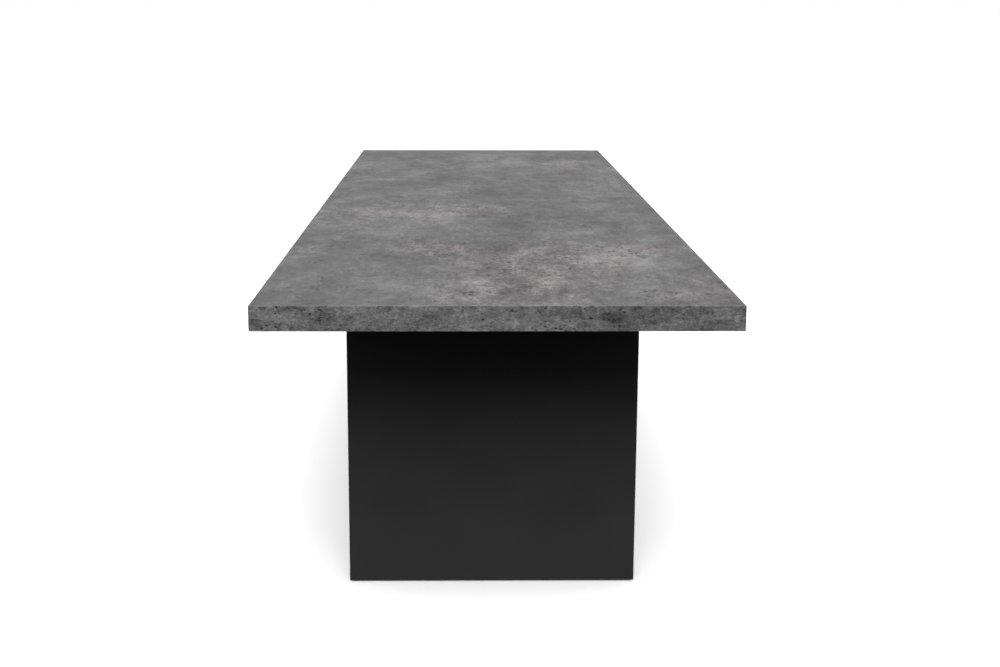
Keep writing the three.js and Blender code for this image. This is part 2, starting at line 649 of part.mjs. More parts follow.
// The loose leaf, stored under the top with its width along the table.
function makeLeaf() {
  const group = new THREE.Group();
  const halfLength = LEAF_LENGTH / 2;
  const halfWidth = TOP_WIDTH / 2;
  const bottom = FRAME_TOP - TOP_THICKNESS;
  const middle = bottom + TOP_THICKNESS / 2;
  const holes = [
    ...pinHolesAlongX(halfLength - PIN_IN - 2, halfLength + 5, middle),
    ...pinHolesAlongX(-halfLength - 5, -halfLength + PIN_OUT + 4, middle),
  ];
  const footprint = [-halfLength, -halfWidth, halfLength, halfWidth];
  addSlab(group, "leaf", footprint, bottom, LEAF_CELLS, holes);
  for (const [place, y] of [["front", -1], ["rear", 1]]) {
    const pin = addPiece(group, `leaf_pin_${place}`, zincSteel, pinGeometry());
    pin.rotation.z = -Math.PI / 2;
    pin.position.set(halfLength, (y * PIN_SPACING) / 2, middle);
  }
  return group;
}

// The pinion, between the racks.
function makePinion() {
  const group = new THREE.Group();
  addPiece(group, "pinion", brass, pinionGeometry());
  group.position.z = CHANNEL_MIDDLE;
  return group;
}

const table = new THREE.Group();
const frontTop = makeFrontTop();
const rearTop = makeRearTop();
addLatches(frontTop, rearTop);
table.add(makeBase(), frontTop, rearTop, makePinion(), makeLeaf());

export default table;
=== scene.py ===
"""Looks of an extendable dining table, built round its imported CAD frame.

The table is a concrete-look slab top in two halves on two black panel legs. Under it, steel rails
carry guide channels, plastic sliders, a rack and pinion, catches, and a loose leaf on two bars.
Lengths named ..._mm are in millimetres, and everything else is in metres. +X is across the table,
+Y along it and +Z up.
"""

import json
import logging
import math
from collections.abc import Callable, Iterator, Sequence
from contextlib import contextmanager
from dataclasses import dataclass, replace
from enum import Enum
from typing import Any, Protocol

import bmesh
import bpy
from mathutils import Matrix, Vector


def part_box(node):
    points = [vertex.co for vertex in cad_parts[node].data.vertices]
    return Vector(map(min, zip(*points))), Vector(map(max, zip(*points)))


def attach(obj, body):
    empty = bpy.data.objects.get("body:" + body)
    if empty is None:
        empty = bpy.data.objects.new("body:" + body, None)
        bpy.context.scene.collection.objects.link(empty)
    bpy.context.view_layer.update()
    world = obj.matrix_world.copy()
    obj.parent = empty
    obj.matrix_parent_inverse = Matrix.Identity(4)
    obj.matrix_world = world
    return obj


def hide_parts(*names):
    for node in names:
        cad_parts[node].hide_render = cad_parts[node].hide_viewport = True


MM = 0.001
SHARP_ANGLE = math.radians(30)
FLAT_ANGLE = math.radians(0.5)
MERGE = 0.002 * MM
NEAR = 0.05 * MM
# A spot is full to the first share of its radius and gone at the second.
SPOT_CORE = 0.3
SPOT_RIM = 1.2
# A wave texture's rings are this far apart at a scale of 1.
WAVE_SPACING = 0.314
LOG = logging.getLogger("table")

Point = tuple[float, float, float]
Profile = Sequence[tuple[float, float]]

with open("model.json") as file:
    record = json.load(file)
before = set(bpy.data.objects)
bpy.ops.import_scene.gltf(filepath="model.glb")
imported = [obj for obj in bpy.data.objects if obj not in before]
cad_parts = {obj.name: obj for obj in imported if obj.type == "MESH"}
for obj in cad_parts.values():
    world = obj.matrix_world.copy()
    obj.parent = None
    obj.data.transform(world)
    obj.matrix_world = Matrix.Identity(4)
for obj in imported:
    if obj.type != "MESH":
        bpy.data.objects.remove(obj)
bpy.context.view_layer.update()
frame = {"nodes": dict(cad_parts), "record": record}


class Side(Enum):
    """A side of the table; the value is its sign on its axis."""

    @property
    def word(self) -> str:
        """The side's name as the nodes spell it."""
        return self.name.lower()


class End(Side):
    """The two ends of the table, along Y."""

    FRONT = -1
    REAR = 1


class Hand(Side):
    """The two long sides of the table, along X."""

    LEFT = -1
    RIGHT = 1


class Pointing(Enum):
    """The way the local +Z of a turned piece points once it is in place."""

    UP = Matrix.Identity(4)
    DOWN = Matrix.Rotation(math.pi, 4, "X")
    OUT_X = Matrix.Rotation(math.pi / 2, 4, "Y")
    OUT_Y = Matrix.Rotation(-math.pi / 2, 4, "X")
    BACK_Y = Matrix.Rotation(math.pi / 2, 4, "X")


# ---- Nodes and finishes ----


def linear(colour: str, gain: float = 1.0) -> tuple[float, ...]:
    """Turns an sRGB hex colour into linear values.

    Args:
        colour: The colour as "#rrggbb".
        gain: How much lighter than that the values are made.

    Returns:
        Linear red, green and blue, with an alpha of 1.
    """
    parts = [int(colour[i : i + 2], 16) / 255 for i in (1, 3, 5)]
    bent = [c / 12.92 if c <= 0.04045 else ((c + 0.055) / 1.055) ** 2.4 for c in parts]
    return *(gain * c for c in bent), 1.0


def add_node(
    tree: bpy.types.NodeTree,
    kind: str,
    inputs: dict[str | int, Any] | None = None,
    stops: Sequence[tuple[float, str]] = (),
    **settings: Any,
) -> bpy.types.Node:
    """Adds a node with its settings, values and links.

    Args:
        tree: The node tree that takes the node.
        kind: The node's type name, without the leading ShaderNode.
        inputs: Socket name or number to a value, or to the output socket that feeds it.
        stops: A colour ramp's stops as (position, hex colour).
        **settings: The node's own properties.

    Returns:
        The new node.
    """
    node = tree.nodes.new("ShaderNode" + kind)
    for name, value in settings.items():
        setattr(node, name, value)
    for key, value in (inputs or {}).items():
        if isinstance(value, bpy.types.NodeSocket):
            tree.links.new(value, node.inputs[key])
        else:
            node.inputs[key].default_value = value
    if stops:
        ramp = node.color_ramp
        while len(ramp.elements) < len(stops):
            ramp.elements.new(0.5)
        for element, (position, colour) in zip(ramp.elements, stops):
            element.position = position
            element.color = linear(colour)
    return node


@dataclass(frozen=True)
class Brew:
    """A material while it is being made: its tree, its surface and the coordinates its patterns read."""

    material: bpy.types.Material
    tree: bpy.types.NodeTree
    surface: bpy.types.Node
    place: bpy.types.NodeSocket

    @classmethod
    def begin(cls, name: str, **surface: Any) -> "Brew":
        """Starts a material on a Principled surface.

        Args:
            name: The material's name.
            **surface: Values for the surface's sockets, with _ for each space.

        Returns:
            The material, ready for its patterns.
        """
        material = bpy.data.materials.new(name)
        material.use_nodes = True
        tree = material.node_tree
        shader = tree.nodes["Principled BSDF"]
        for key, value in surface.items():
            shader.inputs[key.replace("_", " ")].default_value = value
        return cls(material, tree, shader, add_node(tree, "TexCoord").outputs["Object"])

    def node(self, kind: str, inputs: dict[str | int, Any], **settings: Any) -> bpy.types.Node:
        """Adds a node to the material, as add_node does."""
        return add_node(self.tree, kind, inputs, **settings)

    def mapped(self, **values: Point) -> bpy.types.NodeSocket:
        """The coordinates moved or stretched by a Mapping node's Location, Rotation or Scale."""
        return self.node("Mapping", {"Vector": self.place, **values}).outputs[0]

    def cells(self, size_mm: float, place: bpy.types.NodeSocket, feature: str = "F1") -> bpy.types.Node:
        """Ragged cells about size_mm across, read at a place."""
        scale = 1 / (size_mm * MM)
        return self.node("TexVoronoi", {"Vector": place, "Scale": scale}, feature=feature)

    def noise(
        self,
        size_mm: float,
        detail: float = 4.0,
        rough: float = 0.55,
        place: bpy.types.NodeSocket | None = None,
        shift: float = 0.0,
    ) -> bpy.types.NodeSocket:
        """Cloudy noise whose largest lumps are about size_mm across.

        Args:
            size_mm: The size of a lump.
            detail: How many finer layers are added.
            rough: How strong the finer layers are.
            place: Coordinates to read in place of the object's own.
            shift: A distance in metres that moves the pattern, so that two patterns differ.

        Returns:
            The noise's value, about 0 to 1.
        """
        location = (shift, shift * 1.7, -shift)
        moved = self.node("Mapping", {"Vector": place or self.place, "Location": location})
        inputs = {"Vector": moved.outputs[0], "Scale": 1 / (size_mm * MM), "Detail": detail}
        return self.node("TexNoise", {**inputs, "Roughness": rough}).outputs["Fac"]

    def warped(self, size_mm: float, reach_mm: float) -> bpy.types.NodeSocket:
        """Coordinates pushed about by a slow noise, so that what reads them swirls.

        Args:
            size_mm: The size of a swirl.
            reach_mm: How far a point may move.

        Returns:
            The moved coordinates.
        """
        swirl = self.node("TexNoise", {"Vector": self.place, "Scale": 1 / (size_mm * MM), "Detail": 2.0})
        inputs = {0: swirl.outputs["Color"], 1: (0.5, 0.5, 0.5)}
        centred = self.node("VectorMath", inputs, operation="SUBTRACT")
        reach = 2 * reach_mm * MM
        inputs = {0: centred.outputs[0], 1: (reach, reach, reach), 2: self.place}
        return self.node("VectorMath", inputs, operation="MULTIPLY_ADD").outputs[0]

    def math(self, operation: str, *values: Any, clamp: bool = False) -> bpy.types.NodeSocket:
        """Does sums on values or sockets and returns the result's socket."""
        inputs = dict(enumerate(values))
        return self.node("Math", inputs, operation=operation, use_clamp=clamp).outputs[0]

    def spread(
        self, value: bpy.types.NodeSocket, low: float, high: float, to_low: float = 0.0, to_high: float = 1.0
    ) -> bpy.types.NodeSocket:
        """Stretches the part of a value between low and high, clamped, to to_low and to_high."""
        inputs = {"Value": value, "From Min": low, "From Max": high, "To Min": to_low, "To Max": to_high}
        return self.node("MapRange", inputs).outputs[0]

    def mixed(self, share: Any, first: Any, second: Any, blend: str = "MIX") -> bpy.types.NodeSocket:
        """Mixes two colours by a share and returns the colour's socket."""
        inputs = {0: share, 6: first, 7: second}
        return self.node("Mix", inputs, data_type="RGBA", blend_type=blend).outputs[2]

    def ramp(self, value: bpy.types.NodeSocket, stops: Sequence[tuple[float, str]]) -> bpy.types.NodeSocket:
        """Turns a value into a colour between stops of (position, hex colour)."""
        return add_node(self.tree, "ValToRGB", {0: value}, stops).outputs[0]

    def finish(
        self,
        colour: bpy.types.NodeSocket | None = None,
        roughness: bpy.types.NodeSocket | None = None,
        relief: bpy.types.NodeSocket | None = None,
        relief_mm: float = 0.1,
    ) -> bpy.types.Material:
        """Joins the patterns to the surface.

        Args:
            colour: The base colour's socket.
            roughness: The roughness's socket.
            relief: A height of 0 to 1.
            relief_mm: How high a relief of 1 stands.

        Returns:
            The finished material.
        """
        if colour is not None:
            self.tree.links.new(colour, self.surface.inputs["Base Color"])
        if roughness is not None:
            self.tree.links.new(roughness, self.surface.inputs["Roughness"])
        if relief is not None:
            bump = self.node("Bump", {"Height": relief, "Distance": relief_mm * MM})
            self.tree.links.new(bump.outputs[0], self.surface.inputs["Normal"])
        return self.material


class Finish(Protocol):
    """A finish makes one material."""

    def material(self) -> bpy.types.Material:
        """The finish as a Blender material."""
        ...


@dataclass(frozen=True)
class Spot:
    """A soft spot in the print: where its middle is, how wide it is and how strong."""

    x_mm: float
    y_mm: float
    radius_mm: float
    strength: float
    z_mm: float = 750.0


def spotted(brew: Brew, place: bpy.types.NodeSocket, spots: Sequence[Spot], start: Any) -> Any:
    """Lays soft-edged spots over a share of 0 to 1.

    Args:
        brew: The material in the making.
        place: The coordinates that the spots read.
        spots: The spots.
        start: The share where there is no spot.

    Returns:
        The greatest of the spots' shares and the start, at each point.
    """
    share = start
    for spot in spots:
        middle = (spot.x_mm * MM, spot.y_mm * MM, spot.z_mm * MM)
        away = brew.node("VectorMath", {0: place, 1: middle}, operation="DISTANCE")
        core, rim = SPOT_CORE * spot.radius_mm * MM, SPOT_RIM * spot.radius_mm * MM
        soft = brew.spread(away.outputs["Value"], core, rim, spot.strength, 0.0)
        share = brew.math("MAXIMUM", share, soft)
    return share


@dataclass(frozen=True)
class ConcreteDecor:
    """Melamine decor printed as trowelled concrete, pressed with a light emboss.

    The eye sees neutral grey clouds, paler patches with a slightly warm cast, a strong fine mottle,
    and dark pits in clusters with a few short wandering hairlines. The sheen is low and even, because
    resin seals the print. Each layer of clouds is a size in millimetres and a share, and each bend is
    the size of a swirl and how far it reaches.
    """

    name: str
    dark: str = "#404040"
    middle: str = "#6a6a6a"
    pale: str = "#999898"
    warm_tint: str = "#fff3f5"
    pit: str = "#2a2a2a"
    layers: tuple[tuple[float, float], ...] = ((330, 0.8), (95, 1.1), (30, 0.85), (9, 0.9), (3.4, 1.1))
    swirl_from_mm: float = 80.0
    spot_bend_mm: tuple[float, float] = (200, 35)
    cloud_bend_mm: tuple[float, float] = (260, 45)
    murk_bend_mm: tuple[float, float] = (25, 8)
    pit_bend_mm: tuple[float, float] = (5, 3.5)
    tones: Point = (0.1, 0.5, 0.9)
    patch_mm: float = 300.0
    ragged_mm: float = 110.0
    grain: Point = (1.0, 0.7, 1.0)
    base_tone: float = 0.48
    pale_lift: float = 0.16
    murk_drop: float = -0.2
    calm_share: float = 0.5
    lively_share: float = 0.65
    mottle_mm: float = 16.0
    emboss_mm: float = 0.12
    sheen_range: float = 0.12
    pale_spots: tuple[Spot, ...] = ()
    dark_spots: tuple[Spot, ...] = ()
    pit_mm: float = 12.0
    cluster_mm: float = 95.0
    hairline_mm: float = 85.0
    broken_mm: float = 40.0
    roughness: float = 0.5

    def material(self) -> bpy.types.Material:
        """Brews the decor: tone, warmth, pits and hairlines, sheen, then emboss.

        Returns:
            The decor as a material.
        """
        brew = Brew.begin(self.name, IOR=1.5)
        plain = brew.warped(*self.spot_bend_mm)
        brew = replace(brew, place=brew.mapped(Scale=self.grain))
        swirled = brew.warped(*self.cloud_bend_mm)
        pale = self.pale_patches(brew, plain, swirled)
        murk = spotted(brew, brew.warped(*self.murk_bend_mm), self.grained(self.dark_spots), 0.0)
        lively = brew.math("MULTIPLY_ADD", pale, self.lively_share, self.calm_share)
        tone = brew.math("MULTIPLY_ADD", pale, self.pale_lift, self.base_tone)
        tone = brew.math("MULTIPLY_ADD", murk, self.murk_drop, tone)
        for number, (size_mm, share) in enumerate(self.layers):
            place = swirled if size_mm > self.swirl_from_mm else None
            cloud = brew.noise(size_mm, detail=4, rough=0.6, place=place, shift=1.3 * number + 0.4)
            strength = brew.math("MULTIPLY", lively, share) if number else share
            tone = brew.math("MULTIPLY_ADD", brew.math("SUBTRACT", cloud, 0.5), strength, tone)
        colour = brew.ramp(tone, list(zip(self.tones, (self.dark, self.middle, self.pale))))
        tint = brew.mixed(pale, (1.0, 1.0, 1.0, 1.0), linear(self.warm_tint))
        colour = brew.mixed(1.0, colour, tint, "MULTIPLY")
        pits = self.pits(brew, lively, murk)
        flaws = brew.math("MAXIMUM", pits, self.hairlines(brew, swirled))
        colour = brew.mixed(flaws, colour, linear(self.pit))
        mottle = brew.noise(self.mottle_mm, detail=4, rough=0.65, shift=7.3)
        dullest = self.roughness - self.sheen_range / 2
        sheen = brew.math("MULTIPLY_ADD", mottle, self.sheen_range, dullest)
        return brew.finish(colour, sheen, brew.math("SUBTRACT", mottle, pits), self.emboss_mm)

    def grained(self, spots: Sequence[Spot]) -> list[Spot]:
        """Moves spots to where the grain's stretched coordinates have them."""
        x, y, z = self.grain
        return [replace(s, x_mm=s.x_mm * x, y_mm=s.y_mm * y, z_mm=s.z_mm * z) for s in spots]

    def pale_patches(
        self, brew: Brew, plain: bpy.types.NodeSocket, swirled: bpy.types.NodeSocket
    ) -> bpy.types.NodeSocket:
        """Ragged patches where the print is paler, warmer and busier.

        Args:
            brew: The material in the making, with its grain.
            plain: Gently moved coordinates without the grain, which the set spots read.
            swirled: Strongly moved coordinates, which the scattered patches read.

        Returns:
            How pale each point is, as a share of 0 to 1.
        """
        ragged = brew.noise(self.ragged_mm, detail=5, rough=0.65, shift=5.7)
        patches = brew.noise(self.patch_mm, detail=3, rough=0.5, place=swirled, shift=2.6)
        share = brew.spread(patches, 0.56, 0.72, 0.0, 0.5)
        share = spotted(brew, plain, self.pale_spots, share)
        return brew.math("MULTIPLY", share, brew.spread(ragged, 0.34, 0.56, 0.4, 1.0), clamp=True)

    def pits(
        self, brew: Brew, lively: bpy.types.NodeSocket, murk: bpy.types.NodeSocket
    ) -> bpy.types.NodeSocket:
        """Small ragged dark pits of uneven size, gathered in clusters.

        Args:
            brew: The material in the making.
            lively: How busy the print is at each point.
            murk: The share of the dark spots, where the pits are larger.

        Returns:
            How deep in a pit each point is, as a share of 0 to 1.
        """
        cells = brew.cells(self.pit_mm, brew.warped(*self.pit_bend_mm))
        size = brew.node("SeparateColor", {0: cells.outputs["Color"]}).outputs[0]
        reach = brew.math("MULTIPLY_ADD", murk, 0.25, brew.spread(size, 0.15, 1.0, 0.0, 0.5))
        inside = brew.math("SUBTRACT", reach, cells.outputs["Distance"])
        cluster = brew.spread(brew.noise(self.cluster_mm, detail=3, rough=0.6, shift=9.1), 0.44, 0.58)
        cluster = brew.math("MAXIMUM", brew.math("MULTIPLY", cluster, lively), murk)
        return brew.math("MULTIPLY", brew.spread(inside, 0.0, 0.15, 0.0, 0.95), cluster, clamp=True)

    def hairlines(self, brew: Brew, swirled: bpy.types.NodeSocket) -> bpy.types.NodeSocket:
        """Short dark wandering lines about a millimetre wide.

        Args:
            brew: The material in the making.
            swirled: Strongly moved coordinates, which make the lines wander.

        Returns:
            How dark a line is at each point, as a share of 0 to 1.
        """
        cells = brew.cells(self.hairline_mm, swirled, "DISTANCE_TO_EDGE")
        line = brew.spread(cells.outputs["Distance"], 0.008, 0.025, 0.5, 0.0)
        broken = brew.spread(brew.noise(self.broken_mm, detail=4, rough=0.7, shift=4.4), 0.55, 0.66)
        return brew.math("MULTIPLY", line, broken)


@dataclass(frozen=True)
class BlackMelamine:
    """Matte black melamine on board, pressed with a fine pearl emboss.

    The eye sees an even near-black that turns soft grey where light grazes it, with a very fine grain.
    """

    name: str
    colour: str = "#3c3c3d"
    roughness: float = 0.6
    roughness_range: float = 0.14
    shades: tuple[float, float] = (0.88, 1.14)
    pearl_mm: float = 1.4
    cast_mm: float = 180.0
    relief_mm: float = 0.05

    def material(self) -> bpy.types.Material:
        """Brews the melamine. The real pearl is about 0.3 mm, and is drawn coarser so that it shows.

        Returns:
            The melamine as a material.
        """
        brew = Brew.begin(self.name, IOR=1.5, Specular_IOR_Level=0.4)
        pearl = brew.noise(self.pearl_mm, detail=2, rough=0.5)
        cast = brew.noise(self.cast_mm, detail=3, rough=0.5, shift=2.2)
        shade = brew.math("ADD", brew.math("MULTIPLY", cast, 0.6), brew.math("MULTIPLY", pearl, 0.4))
        dark, light = [linear(self.colour, gain) for gain in self.shades]
        colour = brew.mixed(brew.spread(shade, 0.3, 0.7), dark, light)
        least = self.roughness - self.roughness_range / 2
        sheen = brew.math("MULTIPLY_ADD", cast, self.roughness_range, least)
        return brew.finish(colour, sheen, pearl, self.relief_mm)


@dataclass(frozen=True)
class Chipboard:
    """Raw chipboard, sanded: pale and brown chips of a few millimetres pressed in resin."""

    name: str
    chip_mm: float = 5.0
    chip_stretch: Point = (1.0, 0.45, 1.6)
    fibre_mm: float = 1.5
    roughness: tuple[float, float] = (0.75, 0.9)
    relief_mm: float = 0.15

    def material(self) -> bpy.types.Material:
        """Brews the chipboard, with its chips longest along the table.

        Returns:
            The chipboard as a material.
        """
        brew = Brew.begin(self.name, IOR=1.45)
        chips = brew.cells(self.chip_mm, brew.mapped(Scale=self.chip_stretch))
        shade = brew.node("SeparateColor", {0: chips.outputs["Color"]}).outputs[0]
        fibre = brew.noise(self.fibre_mm, detail=3, rough=0.6)
        tone = brew.math("MULTIPLY_ADD", brew.math("SUBTRACT", fibre, 0.5), 0.5, shade)
        stops = [(0.0, "#7c5f3c"), (0.35, "#a58759"), (0.7, "#bfa274"), (1.0, "#d6bd92")]
        sheen = brew.spread(fibre, 0.2, 0.8, *self.roughness)
        return brew.finish(brew.ramp(tone, stops), sheen, shade, self.relief_mm)


@dataclass(frozen=True)
class PowderCoat:
    """Fine-textured black powder coat, baked on steel: a slight orange peel, with a soft sparkle painted as
    lighter specks on its crests.
    """

    name: str
    colour: str = "#1d1e20"
    peel_gain: float = 1.5
    peel_mm: float = 1.6
    wear_mm: float = 60.0
    roughness: tuple[float, float] = (0.38, 0.52)
    relief_mm: float = 0.09

    def material(self) -> bpy.types.Material:
        """Brews the coat.

        Returns:
            The coat as a material.
        """
        brew = Brew.begin(self.name, IOR=1.5, Specular_IOR_Level=0.5)
        peel = brew.noise(self.peel_mm, detail=2, rough=0.5)
        wear = brew.noise(self.wear_mm, detail=4, rough=0.6, shift=6.0)
        # Painted sparkle: the base colour is lighter on the crests of the peel, which also makes the relief.
        base, light = linear(self.colour), linear(self.colour, self.peel_gain)
        colour = brew.mixed(brew.spread(peel, 0.35, 0.75), base, light)
        return brew.finish(colour, brew.spread(wear, 0.3, 0.7, *self.roughness), peel, self.relief_mm)


@dataclass(frozen=True)
class ZincPlate:
    """Bright zinc on rolled steel: a cool metal with faint rolling lines and cloudy passivation."""

    name: str
    cool: str = "#b4bac0"
    warm: str = "#c2bfb4"
    line_mm: float = 0.9
    line_stretch: Point = (1.0, 0.03, 1.0)
    film_mm: float = 22.0
    roughness: tuple[float, float] = (0.2, 0.32)
    line_roughness: float = 0.14
    relief_mm: float = 0.02

    def material(self) -> bpy.types.Material:
        """Brews the plating. Rolling lines run along the table, as the strip was rolled.

        Returns:
            The plating as a material.
        """
        brew = Brew.begin(self.name, Metallic=1.0)
        lines = brew.noise(self.line_mm, detail=3, rough=0.6, place=brew.mapped(Scale=self.line_stretch))
        film = brew.noise(self.film_mm, detail=4, rough=0.6, shift=8.0)
        colour = brew.mixed(brew.spread(film, 0.35, 0.65), linear(self.cool), linear(self.warm))
        dulled = brew.spread(film, 0.3, 0.7, *self.roughness)
        sheen = brew.math("MULTIPLY_ADD", lines, self.line_roughness, dulled)
        return brew.finish(colour, sheen, lines, self.relief_mm)


@dataclass(frozen=True)
class Acetal:
    """Machined natural acetal: a milky, waxy white that lets a little light in, with faint tool marks."""

    name: str
    colour: str = "#e4e1d8"
    dark_gain: float = 0.86
    tooling_mm: float = 1.2
    tooling_stretch: Point = (1.0, 0.08, 1.0)
    cast_mm: float = 30.0
    roughness: tuple[float, float] = (0.3, 0.42)
    relief_mm: float = 0.03

    def material(self) -> bpy.types.Material:
        """Brews the plastic.

        Returns:
            The plastic as a material.
        """
        brew = Brew.begin(self.name, IOR=1.48, Subsurface_Weight=0.15, Subsurface_Scale=0.002)
        along = brew.mapped(Scale=self.tooling_stretch)
        tooling = brew.noise(self.tooling_mm, detail=2, rough=0.5, place=along)
        cast = brew.noise(self.cast_mm, detail=3, rough=0.5)
        dark, base = linear(self.colour, self.dark_gain), linear(self.colour)
        colour = brew.mixed(brew.spread(cast, 0.3, 0.7), dark, base)
        sheen = brew.spread(tooling, 0.3, 0.7, *self.roughness)
        return brew.finish(colour, sheen, tooling, self.relief_mm)


@dataclass(frozen=True)
class BlackNylon:
    """Moulded black nylon with a spark-eroded grain: dull, with a slightly greyer bloom."""

    name: str
    colour: str = "#1f1f20"
    bloom_gain: float = 1.7
    spark_mm: float = 0.9
    bloom_mm: float = 18.0
    roughness: tuple[float, float] = (0.42, 0.6)
    relief_mm: float = 0.04

    def material(self) -> bpy.types.Material:
        """Brews the plastic.

        Returns:
            The plastic as a material.
        """
        brew = Brew.begin(self.name, IOR=1.53)
        grain = brew.noise(self.spark_mm, detail=2, rough=0.5)
        bloom = brew.noise(self.bloom_mm, detail=3, rough=0.5)
        base, light = linear(self.colour), linear(self.colour, self.bloom_gain)
        colour = brew.mixed(brew.spread(bloom, 0.35, 0.7), base, light)
        return brew.finish(colour, brew.spread(grain, 0.3, 0.7, *self.roughness), grain, self.relief_mm)


@dataclass(frozen=True)
class MachinedBrass:
    """Brass turned and hobbed: warm yellow metal with fine rings left by the tool round the axle."""

    name: str
    colour: str = "#c79f58"
    dull: str = "#a5803f"
    axle_height: float = 0.67
    ring_mm: float = 0.8
    tarnish_mm: float = 7.0
    roughness: float = 0.24
    ring_roughness: float = 0.12
    relief_mm: float = 0.02

    def material(self) -> bpy.types.Material:
        """Brews the brass. The rings are centred on the axle and drawn coarse enough to show.

        Returns:
            The brass as a material.
        """
        brew = Brew.begin(self.name, Metallic=1.0)
        centred = brew.mapped(Location=(0, 0, -self.axle_height))
        scale = WAVE_SPACING / (self.ring_mm * MM)
        inputs = {"Vector": centred, "Scale": scale, "Distortion": 0.4}
        rings = brew.node("TexWave", inputs, wave_type="RINGS", rings_direction="X")
        tarnish = brew.noise(self.tarnish_mm, detail=4, rough=0.6)
        colour = brew.mixed(brew.spread(tarnish, 0.4, 0.7), linear(self.colour), linear(self.dull))
        ring = rings.outputs["Fac"]
        sheen = brew.math("MULTIPLY_ADD", ring, self.ring_roughness, self.roughness)
        return brew.finish(colour, sheen, ring, self.relief_mm)


FINISHES: dict[str, Finish] = {
    "top_decor": ConcreteDecor(
        "concrete_decor_face",
        pale_spots=(
            Spot(50, -1050, 190, 1.0),
            Spot(110, -820, 260, 0.8),
            Spot(-125, -680, 130, 0.9),
            Spot(330, -700, 110, 0.9),
            Spot(-60, -190, 170, 0.6),
            Spot(-250, -230, 120, 0.6),
            Spot(400, -1100, 120, 0.7),
            Spot(300, 760, 130, 0.5),
        ),
        dark_spots=(Spot(-60, -1090, 28, 0.7), Spot(26, -702, 40, 0.6), Spot(-250, -756, 50, 0.5)),
    ),
    "edge_decor": ConcreteDecor(
        "concrete_decor_edging",
        # The edging carries the top's print, but its dark, middle and pale are set lighter: painted light
        # that makes up for the weaker light falling on the upright edges.
        dark="#505050",
        middle="#7f7f7f",
        pale="#acacac",
        layers=((260, 0.6), (60, 0.9), (20, 0.85), (7, 0.9), (3, 1.05)),
        grain=(0.75, 0.75, 1.3),
        calm_share=1.0,
        dark_spots=(Spot(-332, -1200, 20, 0.9, 727), Spot(214, -1200, 20, 0.9, 727)),
        pit_mm=7.0,
        cluster_mm=55.0,
    ),
    "underside": BlackMelamine("black_balancing_melamine", colour="#262627", roughness=0.6),
    "board_core": Chipboard("raw_chipboard"),
    "leg_board": BlackMelamine("matte_black_melamine"),
    "black_steel": PowderCoat("black_powder_coat"),
    "zinc_steel": ZincPlate("bright_zinc_plate"),
    "slide_plastic": Acetal("natural_acetal"),
    "black_plastic": BlackNylon("moulded_black_nylon"),
    "gear_brass": MachinedBrass("machined_brass"),
}


class Palette:
    """The record's material slots, each with its finish made into a material once."""

    def __init__(self) -> None:
        """Makes every finish and reads which slot each CAD node takes."""
        self.materials = {slot: finish.material() for slot, finish in FINISHES.items()}
        record = frame["record"]
        self.slot_of = {part["node"]: part["material_slot"] for part in record["subparts"]}
        bodies = record["behaviour"]["bodies"]
        self.body_of = {node: body for body, nodes in bodies.items() for node in nodes}

    def dress(self, piece: bpy.types.Object, slot: str, body: str) -> bpy.types.Object:
        """Gives a piece its finish and its body.

        Args:
            piece: The finished piece.
            slot: The record's material slot.
            body: The CAD body that the piece moves with.

        Returns:
            The same piece.
        """
        piece.data.materials.clear()
        piece.data.materials.append(self.materials[slot])
        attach(piece, body)
        return piece

    def lay(
        self, name: str, model: bpy.types.Object, places: Sequence[Matrix], slot: str, body: str
    ) -> bpy.types.Object:
        """Sets copies of a model in their places as one dressed piece, and deletes the model.

        Args:
            name: The new piece's name.
            model: The model, made about the origin.
            places: Where each copy goes.
            slot: The record's material slot.
            body: The CAD body that the piece moves with.

        Returns:
            The dressed piece.
        """
        made = copies(name, model, places)
        bpy.data.objects.remove(model)
        return self.dress(made, slot, body)


# ---- Workshop: small steps that every piece is made with ----


def clear_selection() -> None:
    """Leaves nothing selected and nothing active."""
    bpy.ops.object.select_all(action="DESELECT")
    bpy.context.view_layer.objects.active = None


def pick(*pieces: bpy.types.Object) -> None:
    """Selects some pieces alone and makes the last one active.

    Args:
        *pieces: The pieces to select.
    """
    clear_selection()
    for piece in pieces:
        piece.select_set(True)
        bpy.context.view_layer.objects.active = piece


@contextmanager
def editing(piece: bpy.types.Object) -> Iterator[None]:
    """Opens one piece in edit mode, picking vertices and with none picked, and closes it at the end.

    Args:
        piece: The piece to edit.
    """
    pick(piece)
    bpy.ops.object.mode_set(mode="EDIT")
    bpy.ops.mesh.select_mode(type="VERT")
    bpy.ops.mesh.select_all(action="DESELECT")
    yield
    bpy.ops.object.mode_set(mode="OBJECT")


def pick_edges(piece: bpy.types.Object, wanted: Callable[[bmesh.types.BMEdge], bool]) -> None:
    """Selects a piece's edges by a test, in edit mode.

    Args:
        piece: The piece in edit mode.
        wanted: Tells whether an edge is selected.
    """
    bpy.ops.mesh.select_mode(type="EDGE")
    bpy.ops.mesh.select_all(action="DESELECT")
    shape = bmesh.from_edit_mesh(piece.data)
    for edge in shape.edges:
        edge.select_set(wanted(edge))
    bmesh.update_edit_mesh(piece.data)


def is_sharp(edge: bmesh.types.BMEdge) -> bool:
    """Tells whether an edge's faces meet at more than the sharp angle."""
    return edge.calc_face_angle(0.0) > SHARP_ANGLE


def take_modifier(piece: bpy.types.Object, kind: str, **settings: Any) -> None:
    """Adds a modifier with its settings and applies it at once.

    Args:
        piece: The piece to change.
        kind: The modifier's type.
        **settings: The modifier's own properties.
    """
    pick(piece)
    modifier = piece.modifiers.new(kind.lower(), kind)
    for name, value in settings.items():
        setattr(modifier, name, value)
    bpy.ops.object.modifier_apply(modifier=modifier.name)


